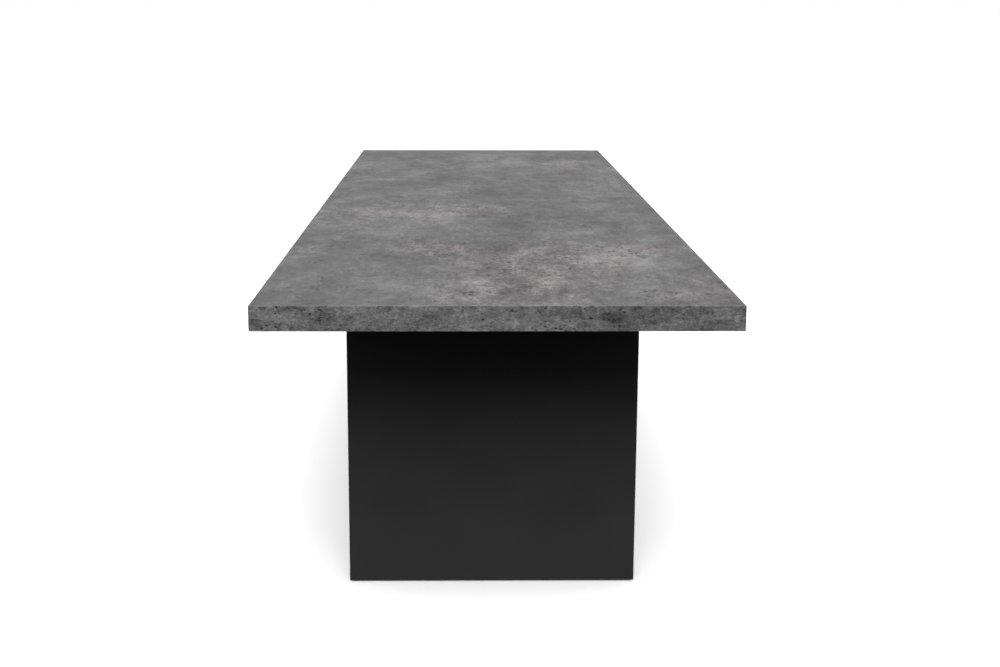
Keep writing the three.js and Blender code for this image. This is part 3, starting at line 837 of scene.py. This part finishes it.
def smooth(piece: bpy.types.Object) -> bpy.types.Object:
    """Shades a piece smooth apart from its sharp edges, with its wide faces kept flat.

    Args:
        piece: The finished shape.

    Returns:
        The same piece.
    """
    pick(piece)
    bpy.ops.object.shade_smooth_by_angle(angle=SHARP_ANGLE)
    take_modifier(piece, "WEIGHTED_NORMAL", mode="FACE_AREA", weight=100, keep_sharp=True)
    return piece


def settle(piece: bpy.types.Object) -> bpy.types.Object:
    """Moves a piece's place, turn and scale into its mesh."""
    pick(piece)
    bpy.ops.object.transform_apply(location=True, rotation=True, scale=True)
    return piece


def block(name: str, low: Point, high: Point) -> bpy.types.Object:
    """A box between two corners in millimetres, as a start for a piece or as a cutter.

    Args:
        name: The piece's name.
        low: The lowest corner.
        high: The highest corner.

    Returns:
        The box.
    """
    clear_selection()
    middle = [(a + b) / 2 * MM for a, b in zip(low, high)]
    size = [(b - a) * MM for a, b in zip(low, high)]
    bpy.ops.mesh.primitive_cube_add(size=1, location=middle, scale=size)
    piece = bpy.context.object
    piece.name = name
    return settle(piece)


def cut(piece: bpy.types.Object, *cutters: bpy.types.Object) -> bpy.types.Object:
    """Cuts closed shapes out of a piece and deletes them.

    Args:
        piece: The piece to cut.
        *cutters: The shapes to take away.

    Returns:
        The same piece.
    """
    for cutter in cutters:
        take_modifier(piece, "BOOLEAN", operation="DIFFERENCE", solver="EXACT", object=cutter)
        bpy.data.objects.remove(cutter)
    return piece


def turned(name: str, profile_mm: Profile, steps: int = 32) -> bpy.types.Object:
    """A piece turned about the vertical, drawn point by point and spun as on a lathe.

    Args:
        name: The piece's name.
        profile_mm: Points of (radius, height), the first and last on the axis.
        steps: How many facets go round.

    Returns:
        The closed piece.
    """
    clear_selection()
    radius, height = profile_mm[0]
    bpy.ops.mesh.primitive_plane_add(size=MM, location=(0, 0, 0))
    piece = bpy.context.object
    piece.name = name
    with editing(piece):
        bpy.ops.mesh.select_all(action="SELECT")
        bpy.ops.mesh.merge(type="CENTER")
        bpy.ops.transform.translate(value=(radius * MM, 0, height * MM))
        for next_radius, next_height in profile_mm[1:]:
            step = ((next_radius - radius) * MM, 0, (next_height - height) * MM)
            bpy.ops.mesh.extrude_region_move(TRANSFORM_OT_translate={"value": step})
            radius, height = next_radius, next_height
        bpy.ops.mesh.select_all(action="SELECT")
        bpy.ops.mesh.spin(steps=steps, angle=2 * math.pi, center=(0, 0, 0), axis=(0, 0, 1))
        bpy.ops.mesh.select_all(action="SELECT")
        bpy.ops.mesh.remove_doubles(threshold=MERGE)
        bpy.ops.mesh.normals_make_consistent(inside=False)
    return piece


def copies(name: str, model: bpy.types.Object, places: Sequence[Matrix]) -> bpy.types.Object:
    """One piece made of copies of a model, each set in its place.

    Args:
        name: The new piece's name.
        model: The model, made about the origin.
        places: Where each copy goes.

    Returns:
        The copies joined in one mesh.
    """
    made = []
    for place in places:
        each = model.copy()
        each.data = model.data.copy()
        bpy.context.scene.collection.objects.link(each)
        each.matrix_world = place
        made.append(settle(each))
    pick(*made)
    if len(made) > 1:
        bpy.ops.object.join()
    piece = bpy.context.object
    piece.name = name
    return piece


def place_at(point_mm: Point, pointing: Pointing = Pointing.UP) -> Matrix:
    """A place in millimetres, with the way that the piece points there."""
    return Matrix.Translation(Vector(point_mm) * MM) @ pointing.value


def box_mm(node: str) -> tuple[Vector, Vector]:
    """The lowest and highest corners of a CAD node in millimetres."""
    low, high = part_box(node)
    return low / MM, high / MM


def refined(
    palette: Palette, node: str, arris_mm: float = 0.3, outline_mm: float | None = None, segments: int = 2
) -> bpy.types.Object:
    """A CAD node with its edges rounded as the real piece's are. It stands for the node.

    Args:
        palette: Gives the piece its finish and its body.
        node: The CAD node to copy.
        arris_mm: How far each sharp edge is rounded; 0 leaves them sharp.
        outline_mm: How far the edges round the node's outline, seen from above, are rounded instead.
        segments: How many facets round an edge.

    Returns:
        The refined piece.
    """
    piece = bpy.data.objects.new(f"{node}_body", frame["nodes"][node].data.copy())
    bpy.context.scene.collection.objects.link(piece)
    with editing(piece):
        bpy.ops.mesh.select_all(action="SELECT")
        bpy.ops.mesh.customdata_custom_splitnormals_clear()
        bpy.ops.mesh.remove_doubles(threshold=MERGE)
        bpy.ops.mesh.dissolve_limited(angle_limit=FLAT_ANGLE)
        if outline_mm is not None:
            low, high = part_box(node)
            pick_edges(piece, is_sharp)
            bpy.ops.transform.edge_bevelweight(value=arris_mm / outline_mm)
            pick_edges(piece, lambda edge: is_sharp(edge) and on_outline(edge, low, high))
            bpy.ops.transform.edge_bevelweight(value=-1)
            bpy.ops.transform.edge_bevelweight(value=1)
    if outline_mm is not None:
        take_modifier(piece, "BEVEL", width=outline_mm * MM, segments=segments, limit_method="WEIGHT")
    elif arris_mm > 0:
        limits = {"limit_method": "ANGLE", "angle_limit": SHARP_ANGLE}
        take_modifier(piece, "BEVEL", width=arris_mm * MM, segments=segments, **limits)
    smooth(piece)
    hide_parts(node)
    return palette.dress(piece, palette.slot_of[node], palette.body_of[node])


def on_outline(edge: bmesh.types.BMEdge, low: Vector, high: Vector) -> bool:
    """Tells whether both ends of an edge lie on one upright side of a box.

    Args:
        edge: The edge.
        low: The box's lowest corner.
        high: The box's highest corner.

    Returns:
        True for an edge on the outline.
    """
    sides = [(axis, corner[axis]) for axis in (0, 1) for corner in (low, high)]
    return any(all(abs(end.co[axis] - side) < NEAR for end in edge.verts) for axis, side in sides)


# ---- Fasteners ----


@dataclass
class PanScrew:
    """A chipboard screw with a pan head and a cross recess. It points up, with its seat at height 0."""

    head_mm: float = 7.6
    height_mm: float = 2.4
    shank_mm: float = 3.9
    length_mm: float = 5.5
    slot_mm: float = 1.1
    recess_mm: float = 4.4
    depth_mm: float = 1.3

    def model(self) -> bpy.types.Object:
        """Turns the screw and cuts the cross in its head.

        Returns:
            The screw, about the origin.
        """
        half, top = self.head_mm / 2, self.height_mm
        profile = [
            (0, -self.length_mm),
            (self.shank_mm / 2, -self.length_mm),
            (self.shank_mm / 2, 0),
            (half, 0),
            (half, 0.3 * top),
            (0.94 * half, 0.6 * top),
            (0.76 * half, 0.84 * top),
            (0.45 * half, 0.97 * top),
            (0, top),
        ]
        screw = turned("pan_screw_model", profile, 20)
        long, wide, deep = self.recess_mm / 2, self.slot_mm / 2, top - self.depth_mm
        across = block("cutter", (-long, -wide, deep), (long, wide, top + 1))
        along = block("cutter", (-wide, -long, deep), (wide, long, top + 1))
        return smooth(cut(screw, across, along))


@dataclass
class SocketScrew:
    """A button-head or cap screw with a hexagon socket. It points up, with its seat at height 0."""

    head_mm: float = 15.0
    height_mm: float = 4.5
    shank_mm: float = 8.0
    length_mm: float = 36.0
    socket_mm: float = 5.0
    depth_mm: float = 2.6
    domed: bool = True

    def model(self) -> bpy.types.Object:
        """Turns the screw and cuts the socket in its head.

        Returns:
            The screw, about the origin.
        """
        half, top = self.head_mm / 2, self.height_mm
        if self.domed:
            crown = [
                (half, 0.12 * top),
                (0.97 * half, 0.34 * top),
                (0.88 * half, 0.6 * top),
                (0.74 * half, 0.82 * top),
                (0.58 * half, 0.96 * top),
                (0.5 * half, top),
            ]
        else:
            crown = [(half, 0.88 * top), (0.96 * half, 0.97 * top), (0.88 * half, top)]
        shank = [
            (0, -self.length_mm),
            (0.42 * self.shank_mm, -self.length_mm),
            (self.shank_mm / 2, 0.08 * self.shank_mm - self.length_mm),
            (self.shank_mm / 2, 0),
            (half, 0),
        ]
        screw = turned("socket_screw_model", [*shank, *crown, (0, top)], 36)
        clear_selection()
        across_corners = self.socket_mm / math.cos(math.pi / 6)
        size = {"radius": across_corners / 2 * MM, "depth": 2 * self.depth_mm * MM}
        bpy.ops.mesh.primitive_cylinder_add(vertices=6, location=(0, 0, top * MM), **size)
        return smooth(cut(screw, settle(bpy.context.object)))


@dataclass
class WeldBead:
    """A short fillet weld along the local X axis: overlapping drops run together."""

    length_mm: float
    size_mm: float = 4.0
    pitch_mm: float = 2.2

    def model(self) -> bpy.types.Object:
        """Lays the drops in a row and melts them into one bead.

        Returns:
            The bead, with its middle at the origin.
        """
        clear_selection()
        count = max(2, round((self.length_mm - self.size_mm) / self.pitch_mm) + 1)
        start = -(count - 1) * self.pitch_mm / 2
        bpy.ops.mesh.primitive_ico_sphere_add(subdivisions=2, radius=self.size_mm / 2 * MM)
        bead = bpy.context.object
        bead.name = "weld_bead_model"
        with editing(bead):
            bpy.ops.mesh.select_all(action="SELECT")
            bpy.ops.transform.translate(value=(start * MM, 0, 0))
        step = (self.pitch_mm * MM, 0, 0)
        spacing = {"use_constant_offset": True, "constant_offset_displace": step}
        take_modifier(bead, "ARRAY", count=count, use_relative_offset=False, **spacing)
        take_modifier(bead, "REMESH", mode="VOXEL", voxel_size=0.5 * MM)
        take_modifier(bead, "SMOOTH", factor=0.5, iterations=1)
        pick(bead)
        bpy.ops.object.shade_smooth()
        return bead


# ---- Sub-assemblies ----


@dataclass
class Slab:
    """A hollow-core slab: faces, core and edging. It serves for each half of the top and for the leaf."""

    palette: Palette
    prefix: str
    face_arris_mm: float = 0.2
    edging_arris_mm: float = 0.2
    edging_outer_mm: float = 0.9

    def build(self) -> list[bpy.types.Object]:
        """Refines the slab's four layers.

        Returns:
            Its faces, core and edging.
        """
        band = f"{self.prefix}_edge_band"
        return [
            refined(self.palette, f"{self.prefix}_upper_skin", self.face_arris_mm),
            refined(self.palette, f"{self.prefix}_lower_skin", self.face_arris_mm),
            refined(self.palette, f"{self.prefix}_core", 0),
            refined(self.palette, band, self.edging_arris_mm, self.edging_outer_mm, 3),
        ]


@dataclass
class PanelLeg:
    """A wide panel leg with its core, its glides, and the strip on top that the slab slides over."""

    palette: Palette
    end: End
    fold_mm: float = 1.2
    arris_mm: float = 0.4
    strip_arris_mm: float = 0.25
    nail_shares: tuple[float, ...] = (-0.4, -0.133, 0.133, 0.4)
    nail_drop_mm: float = 0.25
    nail_radius_mm: float = 2.15
    glide_steps: int = 48

    def build(self) -> list[bpy.types.Object]:
        """Refines the leg and models its glides and nails.

        Returns:
            Its shell, core, strip, nails and glides.
        """
        word = self.end.word
        return [
            refined(self.palette, f"leg_{word}_shell", self.arris_mm, self.fold_mm, 3),
            refined(self.palette, f"leg_{word}_core", 0),
            refined(self.palette, f"slide_strip_{word}", self.strip_arris_mm),
            self.strip_nails(),
            *[self.glide(hand) for hand in Hand],
        ]

    def glide(self, hand: Hand) -> bpy.types.Object:
        """Turns a glide with a rounded rim and a dished foot. It stands for the CAD's.

        Args:
            hand: The side of the leg that it is on.

        Returns:
            The glide.
        """
        node = f"foot_glide_{self.end.word}_{hand.word}"
        low, high = box_mm(node)
        radius, top = (high.x - low.x) / 2, high.z
        profile = [
            (0, 0.6),
            (0.45 * radius, 0.5),
            (0.6 * radius, 0),
            (0.86 * radius, 0),
            (0.95 * radius, 0.35),
            (radius, 1.3),
            (radius, top - 0.4),
            (radius - 0.4, top),
            (0, top),
        ]
        model = turned("glide_model", profile, self.glide_steps)
        middle = ((low.x + high.x) / 2, (low.y + high.y) / 2, 0)
        glide = smooth(copies(f"{node}_body", model, [place_at(middle)]))
        bpy.data.objects.remove(model)
        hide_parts(node)
        return self.palette.dress(glide, "black_plastic", "base")

    def strip_nails(self) -> bpy.types.Object:
        """Sets flat nails in the holes of the slide strip.

        Returns:
            The nails as one piece.
        """
        low, high = box_mm(f"slide_strip_{self.end.word}")
        leg_low, leg_high = box_mm(f"leg_{self.end.word}_shell")
        radius, width = self.nail_radius_mm, leg_high.x - leg_low.x
        profile = [(0, -6), (1, -6), (1, -0.8), (radius, -0.2), (radius, 0), (0, 0)]
        nail = smooth(turned("nail_model", profile, 16))
        depth, height = (low.y + high.y) / 2, high.z - self.nail_drop_mm
        places = [place_at((share * width, depth, height)) for share in self.nail_shares]
        return self.palette.lay(f"strip_nails_{self.end.word}", nail, places, "zinc_steel", "base")


@dataclass
class BaseFrame:
    """The welded frame between the legs: rails, end plates, leaf bars, guide channels and bolts."""

    palette: Palette
    bolt_rows: int = 4
    bead_mm: float = 4.0
    tall_trim_mm: float = 4.0
    flat_trim_mm: float = 2.0
    cut_arris_mm: float = 0.3
    tube_corner_mm: float = 1.6
    channel_arris_mm: float = 0.7
    plate_arris_mm: float = 0.6

    def build(self) -> list[bpy.types.Object]:
        """Refines the frame's steel, and models its bolts and welds.

        Returns:
            All of the frame's pieces.
        """
        pieces = []
        for hand in Hand:
            rail, corner = f"side_rail_{hand.word}", self.tube_corner_mm
            pieces.append(refined(self.palette, rail, self.cut_arris_mm, corner, 3))
            pieces.append(refined(self.palette, f"guide_channel_{hand.word}", self.channel_arris_mm))
        for end in End:
            pieces.append(refined(self.palette, f"end_plate_{end.word}", self.plate_arris_mm))
            pieces.append(refined(self.palette, f"leaf_bar_{end.word}", self.plate_arris_mm))
        return [*pieces, *self.bolts(), *self.rail_welds(), *self.bar_welds()]

    def bolts(self) -> list[bpy.types.Object]:
        """Models the end bolts once and sets a copy in the place of each.

        Returns:
            The bolts.
        """
        model = SocketScrew().model()
        made = []
        for end in End:
            pointing = Pointing.BACK_Y if end is End.REAR else Pointing.OUT_Y
            for row in range(1, self.bolt_rows + 1):
                node = f"end_bolt_{end.word}_{row}"
                low, high = box_mm(node)
                inner = low.y if end is End.REAR else high.y
                seat = inner + end.value * SocketScrew.height_mm
                middle = ((low.x + high.x) / 2, seat, (low.z + high.z) / 2)
                bolt = copies(f"{node}_body", model, [place_at(middle, pointing)])
                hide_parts(node)
                made.append(self.palette.dress(bolt, "zinc_steel", "base"))
        bpy.data.objects.remove(model)
        return made

    def weld(self, name: str, length_mm: float, places: Sequence[Matrix]) -> bpy.types.Object:
        """Runs beads of one length in their places, as one piece."""
        model = WeldBead(length_mm, self.bead_mm).model()
        return self.palette.lay(name, model, places, "black_steel", "base")

    def rail_welds(self) -> list[bpy.types.Object]:
        """Runs a bead down the inner side of each rail's end and one under it.

        Returns:
            The beads, two pieces to a rail.
        """
        made = []
        for hand in Hand:
            low, high = box_mm(f"side_rail_{hand.word}")
            inner = high.x if hand is Hand.LEFT else low.x
            middle = (low + high) / 2
            down = [place_at((inner, y, middle.z), Pointing.OUT_X) for y in (low.y, high.y)]
            under = [place_at((middle.x, y, low.z)) for y in (low.y, high.y)]
            made.append(self.weld(f"rail_weld_side_{hand.word}", high.z - low.z - self.tall_trim_mm, down))
            made.append(self.weld(f"rail_weld_under_{hand.word}", high.x - low.x - self.flat_trim_mm, under))
        return made

    def bar_welds(self) -> list[bpy.types.Object]:
        """Runs a bead under each end of a leaf bar, where it meets the rail.

        Returns:
            The beads, one piece to a bar.
        """
        made = []
        quarter = Matrix.Rotation(math.pi / 2, 4, "Z")
        for end in End:
            low, high = box_mm(f"leaf_bar_{end.word}")
            middle = (low.y + high.y) / 2
            places = [place_at((x, middle, low.z)) @ quarter for x in (low.x, high.x)]
            made.append(self.weld(f"bar_weld_{end.word}", high.y - low.y - self.flat_trim_mm, places))
        return made


@dataclass
class SlideUnit:
    """The runners and sliders under one half, with the screws that hold the runners."""

    palette: Palette
    end: End
    screws: int = 4
    flange_mm: float = 16.0
    flange_wall_mm: float = 3.0
    runner_arris_mm: float = 0.5
    slider_arris_mm: float = 0.6

    def build(self) -> list[bpy.types.Object]:
        """Refines the runners and sliders and sets the screws.

        Returns:
            The runner, slider and screws of each side.
        """
        pieces = []
        for hand in Hand:
            place = f"{self.end.word}_{hand.word}"
            pieces.append(refined(self.palette, f"runner_{place}", self.runner_arris_mm))
            pieces.append(refined(self.palette, f"slider_{place}", self.slider_arris_mm))
            pieces.append(self.runner_screws(hand))
        return pieces

    def runner_screws(self, hand: Hand) -> bpy.types.Object:
        """Sets pan screws in the holes of a runner's flange.

        Args:
            hand: The runner's side.

        Returns:
            The screws as one piece.
        """
        node = f"runner_{self.end.word}_{hand.word}"
        low, high = box_mm(node)
        web = high.x if hand is Hand.RIGHT else low.x
        column = web - hand.value * (self.flange_wall_mm + self.flange_mm / 2)
        seat = high.z - self.flange_wall_mm
        step = (high.y - low.y) / self.screws
        rows = [low.y + step * (i + 0.5) for i in range(self.screws)]
        places = [place_at((column, y, seat), Pointing.DOWN) for y in rows]
        name, body = f"runner_screws_{self.end.word}_{hand.word}", self.palette.body_of[node]
        return self.palette.lay(name, PanScrew().model(), places, "zinc_steel", body)


@dataclass
class SyncDrive:
    """The racks, the pinion and its axle, and the cap screws that hold the racks to the runners."""

    palette: Palette
    tooth_arris_mm: float = 0.15
    boss_rows_mm: tuple[float, float] = (40.0, 85.0)
    back_mm: float = 3.5
    head_gap_mm: float = 0.05
    axle_arris_mm: float = 0.5

    def build(self) -> list[bpy.types.Object]:
        """Refines the drive and sets the screws.

        Returns:
            The racks, the pinion, its axle and the screws.
        """
        toothed = ("rack_lower", "rack_upper", "pinion")
        return [
            *[refined(self.palette, node, self.tooth_arris_mm, segments=1) for node in toothed],
            refined(self.palette, "pinion_axle", self.axle_arris_mm),
            *[self.rack_screws(end) for end in End],
        ]

    def rack_screws(self, end: End) -> bpy.types.Object:
        """Sets two cap screws through the back of a rack.

        Args:
            end: The half of the top that the rack moves with.

        Returns:
            The screws as one piece.
        """
        node = "rack_lower" if end is End.FRONT else "rack_upper"
        low, high = box_mm(node)
        height = low.z + self.back_mm if end is End.FRONT else high.z - self.back_mm
        face = high.x + self.head_gap_mm
        places = [place_at((face, end.value * y, height), Pointing.OUT_X) for y in self.boss_rows_mm]
        screw = SocketScrew(8.5, 4.0, shank_mm=5.0, length_mm=17.0, socket_mm=4.0, domed=False)
        name, body = f"rack_screws_{end.word}", self.palette.body_of[node]
        return self.palette.lay(name, screw.model(), places, "zinc_steel", body)


@dataclass
class Catch:
    """A catch under the seam: base and hook on the front half, keeper on the rear, and their screws."""

    palette: Palette
    hand: Hand
    hole_inset_mm: float = 5.5
    plate_mm: float = 2.5
    plate_arris_mm: float = 0.35
    hook_arris_mm: float = 0.5

    def build(self) -> list[bpy.types.Object]:
        """Refines the catch and sets the screws in its two plates.

        Returns:
            The catch's three pieces, then the screws of each plate.
        """
        word = self.hand.word
        return [
            refined(self.palette, f"latch_base_{word}", self.plate_arris_mm),
            refined(self.palette, f"latch_hook_{word}", self.hook_arris_mm),
            refined(self.palette, f"latch_keeper_{word}", self.plate_arris_mm),
            self.plate_screws(f"latch_base_{word}"),
            self.plate_screws(f"latch_keeper_{word}"),
        ]

    def plate_screws(self, node: str) -> bpy.types.Object:
        """Sets a low pan screw near each corner of a plate.

        Args:
            node: The plate's CAD node.

        Returns:
            The screws as one piece.
        """
        low, high = box_mm(node)
        inset, seat = self.hole_inset_mm, high.z - self.plate_mm
        columns, rows = (low.x + inset, high.x - inset), (low.y + inset, high.y - inset)
        places = [place_at((x, y, seat), Pointing.DOWN) for x in columns for y in rows]
        screw = PanScrew(head_mm=6.6, height_mm=2.0, slot_mm=1.0, recess_mm=3.8)
        body = self.palette.body_of[node]
        return self.palette.lay(f"{node}_screws", screw.model(), places, "zinc_steel", body)


@dataclass
class Pins:
    """The steel pins that line the halves and the leaf up."""

    palette: Palette
    nodes: tuple[str, ...] = ("align_pin_left", "align_pin_right", "leaf_pin_front", "leaf_pin_rear")
    arris_mm: float = 0.25

    def build(self) -> list[bpy.types.Object]:
        """Refines each pin."""
        return [refined(self.palette, node, self.arris_mm) for node in self.nodes]


# ---- Stage, light and camera ----


@dataclass(frozen=True)
class Softbox:
    """A wide, even light far away.

    Its turn is how far round the table it stands from the front end, anticlockwise from above, and its
    lift how far above the horizon. Its power is in watts a square metre, on a surface that faces it.
    """

    name: str
    turn_degrees: float
    lift_degrees: float
    power: float
    width_degrees: float = 50.0

    def hang(self) -> None:
        """Hangs the light."""
        light = bpy.data.lights.new(self.name, "SUN")
        light.energy = self.power
        light.angle = math.radians(self.width_degrees)
        lamp = bpy.data.objects.new(self.name, light)
        bpy.context.scene.collection.objects.link(lamp)
        lamp.rotation_euler = (math.radians(90 - self.lift_degrees), 0, math.radians(self.turn_degrees))


def by_ray(
    tree: bpy.types.NodeTree, seen: bpy.types.NodeSocket, felt: bpy.types.NodeSocket
) -> bpy.types.NodeSocket:
    """Gives the camera one shader and every other ray another.

    Args:
        tree: The node tree.
        seen: The shader that the camera sees.
        felt: The shader that lights and reflections meet.

    Returns:
        The shader of both.
    """
    path = add_node(tree, "LightPath")
    inputs = {0: path.outputs["Is Camera Ray"], 1: felt, 2: seen}
    return add_node(tree, "MixShader", inputs).outputs[0]


@dataclass
class Stage:
    """A pale seamless floor and backdrop under soft studio light.

    The floor's share of light is over 1, so that it is white in full light and its shadows are faint.
    """

    floor_size: float = 400.0
    lit_share: float = 1.32
    bounce: str = "#303030"
    backdrop: float = 1.0
    horizon: float = 0.05
    dome: float = 0.66
    dome_rise: float = 1.4
    fill_size: tuple[float, float] = (0.5, 1.4)
    dark_fill: float = 14.0
    bright_fill: float = 2.0
    fill_height: float = 0.04
    softboxes: tuple[Softbox, ...] = (
        Softbox("key_softbox", 0, 53, 2.15),
        Softbox("rear_softbox", 180, 45, 0.3),
        Softbox("left_softbox", -90, 35, 0.5),
        Softbox("right_softbox", 90, 35, 0.5),
    )

    def build(self, hidden: Sequence[bpy.types.Object]) -> None:
        """Lays the floor, sets the world and hangs the lights.

        The black pieces under the top need a strong fill light, which would burn the others out.

        Args:
            hidden: The pieces under the top.
        """
        dark = [piece for piece in hidden if "black" in piece.data.materials[0].name]
        bright = [piece for piece in hidden if piece not in dark]
        self.floor()
        self.world()
        for softbox in self.softboxes:
            softbox.hang()
        self.under_fill("dark_fill", dark, self.dark_fill)
        self.under_fill("bright_fill", bright, self.bright_fill)

    def floor(self) -> None:
        """A plane that looks near-white from above, takes faint shadows and throws little light back.

        It is clear from below, so that the underside can be looked at.
        """
        clear_selection()
        bpy.ops.mesh.primitive_plane_add(size=self.floor_size, location=(0, 0, 0))
        plane = bpy.context.object
        plane.name = "studio_floor"
        material = bpy.data.materials.new("pale_studio_floor")
        material.use_nodes = True
        tree = material.node_tree
        tree.nodes.clear()
        seen = add_node(tree, "BsdfDiffuse", {"Color": (self.lit_share,) * 3 + (1,)})
        dull = add_node(tree, "BsdfDiffuse", {"Color": linear(self.bounce)})
        upper = by_ray(tree, seen.outputs[0], dull.outputs[0])
        facing = add_node(tree, "NewGeometry")
        clear = add_node(tree, "BsdfTransparent")
        inputs = {0: facing.outputs["Backfacing"], 1: upper, 2: clear.outputs[0]}
        chosen = add_node(tree, "MixShader", inputs)
        add_node(tree, "OutputMaterial", {"Surface": chosen.outputs[0]})
        plane.data.materials.append(material)

    def world(self) -> None:
        """A white backdrop to the eye, and to everything else a soft dome that brightens with height."""
        world = bpy.data.worlds.new("studio")
        bpy.context.scene.world = world
        world.use_nodes = True
        tree = world.node_tree
        tree.nodes.clear()
        way = add_node(tree, "TexCoord").outputs["Generated"]
        height = add_node(tree, "SeparateXYZ", {0: way}).outputs["Z"]
        rise = add_node(tree, "Math", {0: height, 1: self.dome_rise}, operation="POWER", use_clamp=True)
        gain = {0: rise.outputs[0], 1: self.dome - self.horizon, 2: self.horizon}
        strength = add_node(tree, "Math", gain, operation="MULTIPLY_ADD")
        seen = add_node(tree, "Background", {"Color": (1, 1, 1, 1), "Strength": self.backdrop})
        felt = add_node(tree, "Background", {"Color": (1, 1, 1, 1), "Strength": strength.outputs[0]})
        add_node(tree, "OutputWorld", {"Surface": by_ray(tree, seen.outputs[0], felt.outputs[0])})

    def under_fill(self, name: str, reached: Sequence[bpy.types.Object], power: float) -> None:
        """A light near the floor that faces up and reaches only some of the pieces under the top.

        Args:
            name: The light's name.
            reached: The pieces that it lights.
            power: Its power in watts.
        """
        light = bpy.data.lights.new(name, "AREA")
        light.shape = "RECTANGLE"
        light.size, light.size_y = self.fill_size
        light.energy = power
        lamp = bpy.data.objects.new(name, light)
        bpy.context.scene.collection.objects.link(lamp)
        lamp.location = (0, 0, self.fill_height)
        lamp.rotation_euler = (math.pi, 0, 0)
        lamp.visible_camera = False
        receivers = bpy.data.collections.new(name + "_reaches")
        for piece in reached:
            receivers.objects.link(piece)
        lamp.light_linking.receiver_collection = receivers


@dataclass
class ProductCamera:
    """A camera past the front end, a little above it, its lens shifted to keep uprights upright."""

    place: Point = (-0.0617, -3.2382, 1.3028)
    turn_degrees: float = 0.5248
    dip_degrees: float = 8.1381
    roll_degrees: float = 0.1209
    lens_mm: float = 39.6747
    sensor_mm: float = 36.0
    shift: tuple[float, float] = (0.02453, -0.1635)
    clip_m: tuple[float, float] = (0.05, 200.0)

    def build(self) -> None:
        """Sets up the camera and makes it the scene's."""
        data = bpy.data.cameras.new("product_camera")
        data.sensor_fit = "HORIZONTAL"
        data.sensor_width = self.sensor_mm
        data.lens = self.lens_mm
        data.shift_x, data.shift_y = self.shift
        data.clip_start, data.clip_end = self.clip_m
        camera = bpy.data.objects.new("product_camera", data)
        bpy.context.scene.collection.objects.link(camera)
        turn = Matrix.Rotation(-math.radians(self.turn_degrees), 4, "Z")
        dip = Matrix.Rotation(math.radians(90 - self.dip_degrees), 4, "X")
        roll = Matrix.Rotation(math.radians(self.roll_degrees), 4, "Z")
        camera.matrix_world = Matrix.Translation(self.place) @ turn @ dip @ roll
        bpy.context.scene.camera = camera


def main() -> None:
    """Sets the camera, builds and reports each sub-assembly in order, then sets the stage."""
    logging.basicConfig(level=logging.INFO, format="%(message)s")
    ProductCamera().build()
    palette = Palette()
    assemblies = [
        Slab(palette, "front_top"),
        Slab(palette, "rear_top"),
        Slab(palette, "leaf"),
        PanelLeg(palette, End.FRONT),
        PanelLeg(palette, End.REAR),
        BaseFrame(palette),
        SlideUnit(palette, End.FRONT),
        SlideUnit(palette, End.REAR),
        SyncDrive(palette),
        Catch(palette, Hand.LEFT),
        Catch(palette, Hand.RIGHT),
        Pins(palette),
    ]
    under_top = (BaseFrame, SlideUnit, SyncDrive, Catch)
    hidden = []
    for assembly in assemblies:
        for piece in assembly.build():
            LOG.info("%s: %s, %d faces", type(assembly).__name__, piece.name, len(piece.data.polygons))
            if isinstance(assembly, under_top) or "lower" in piece.name:
                hidden.append(piece)
    Stage().build(hidden)
    scene = bpy.context.scene
    scene.view_settings.view_transform = "Standard"
    scene.cycles.use_denoising = True
    clear_selection()


if __name__ == "__main__":
    main()
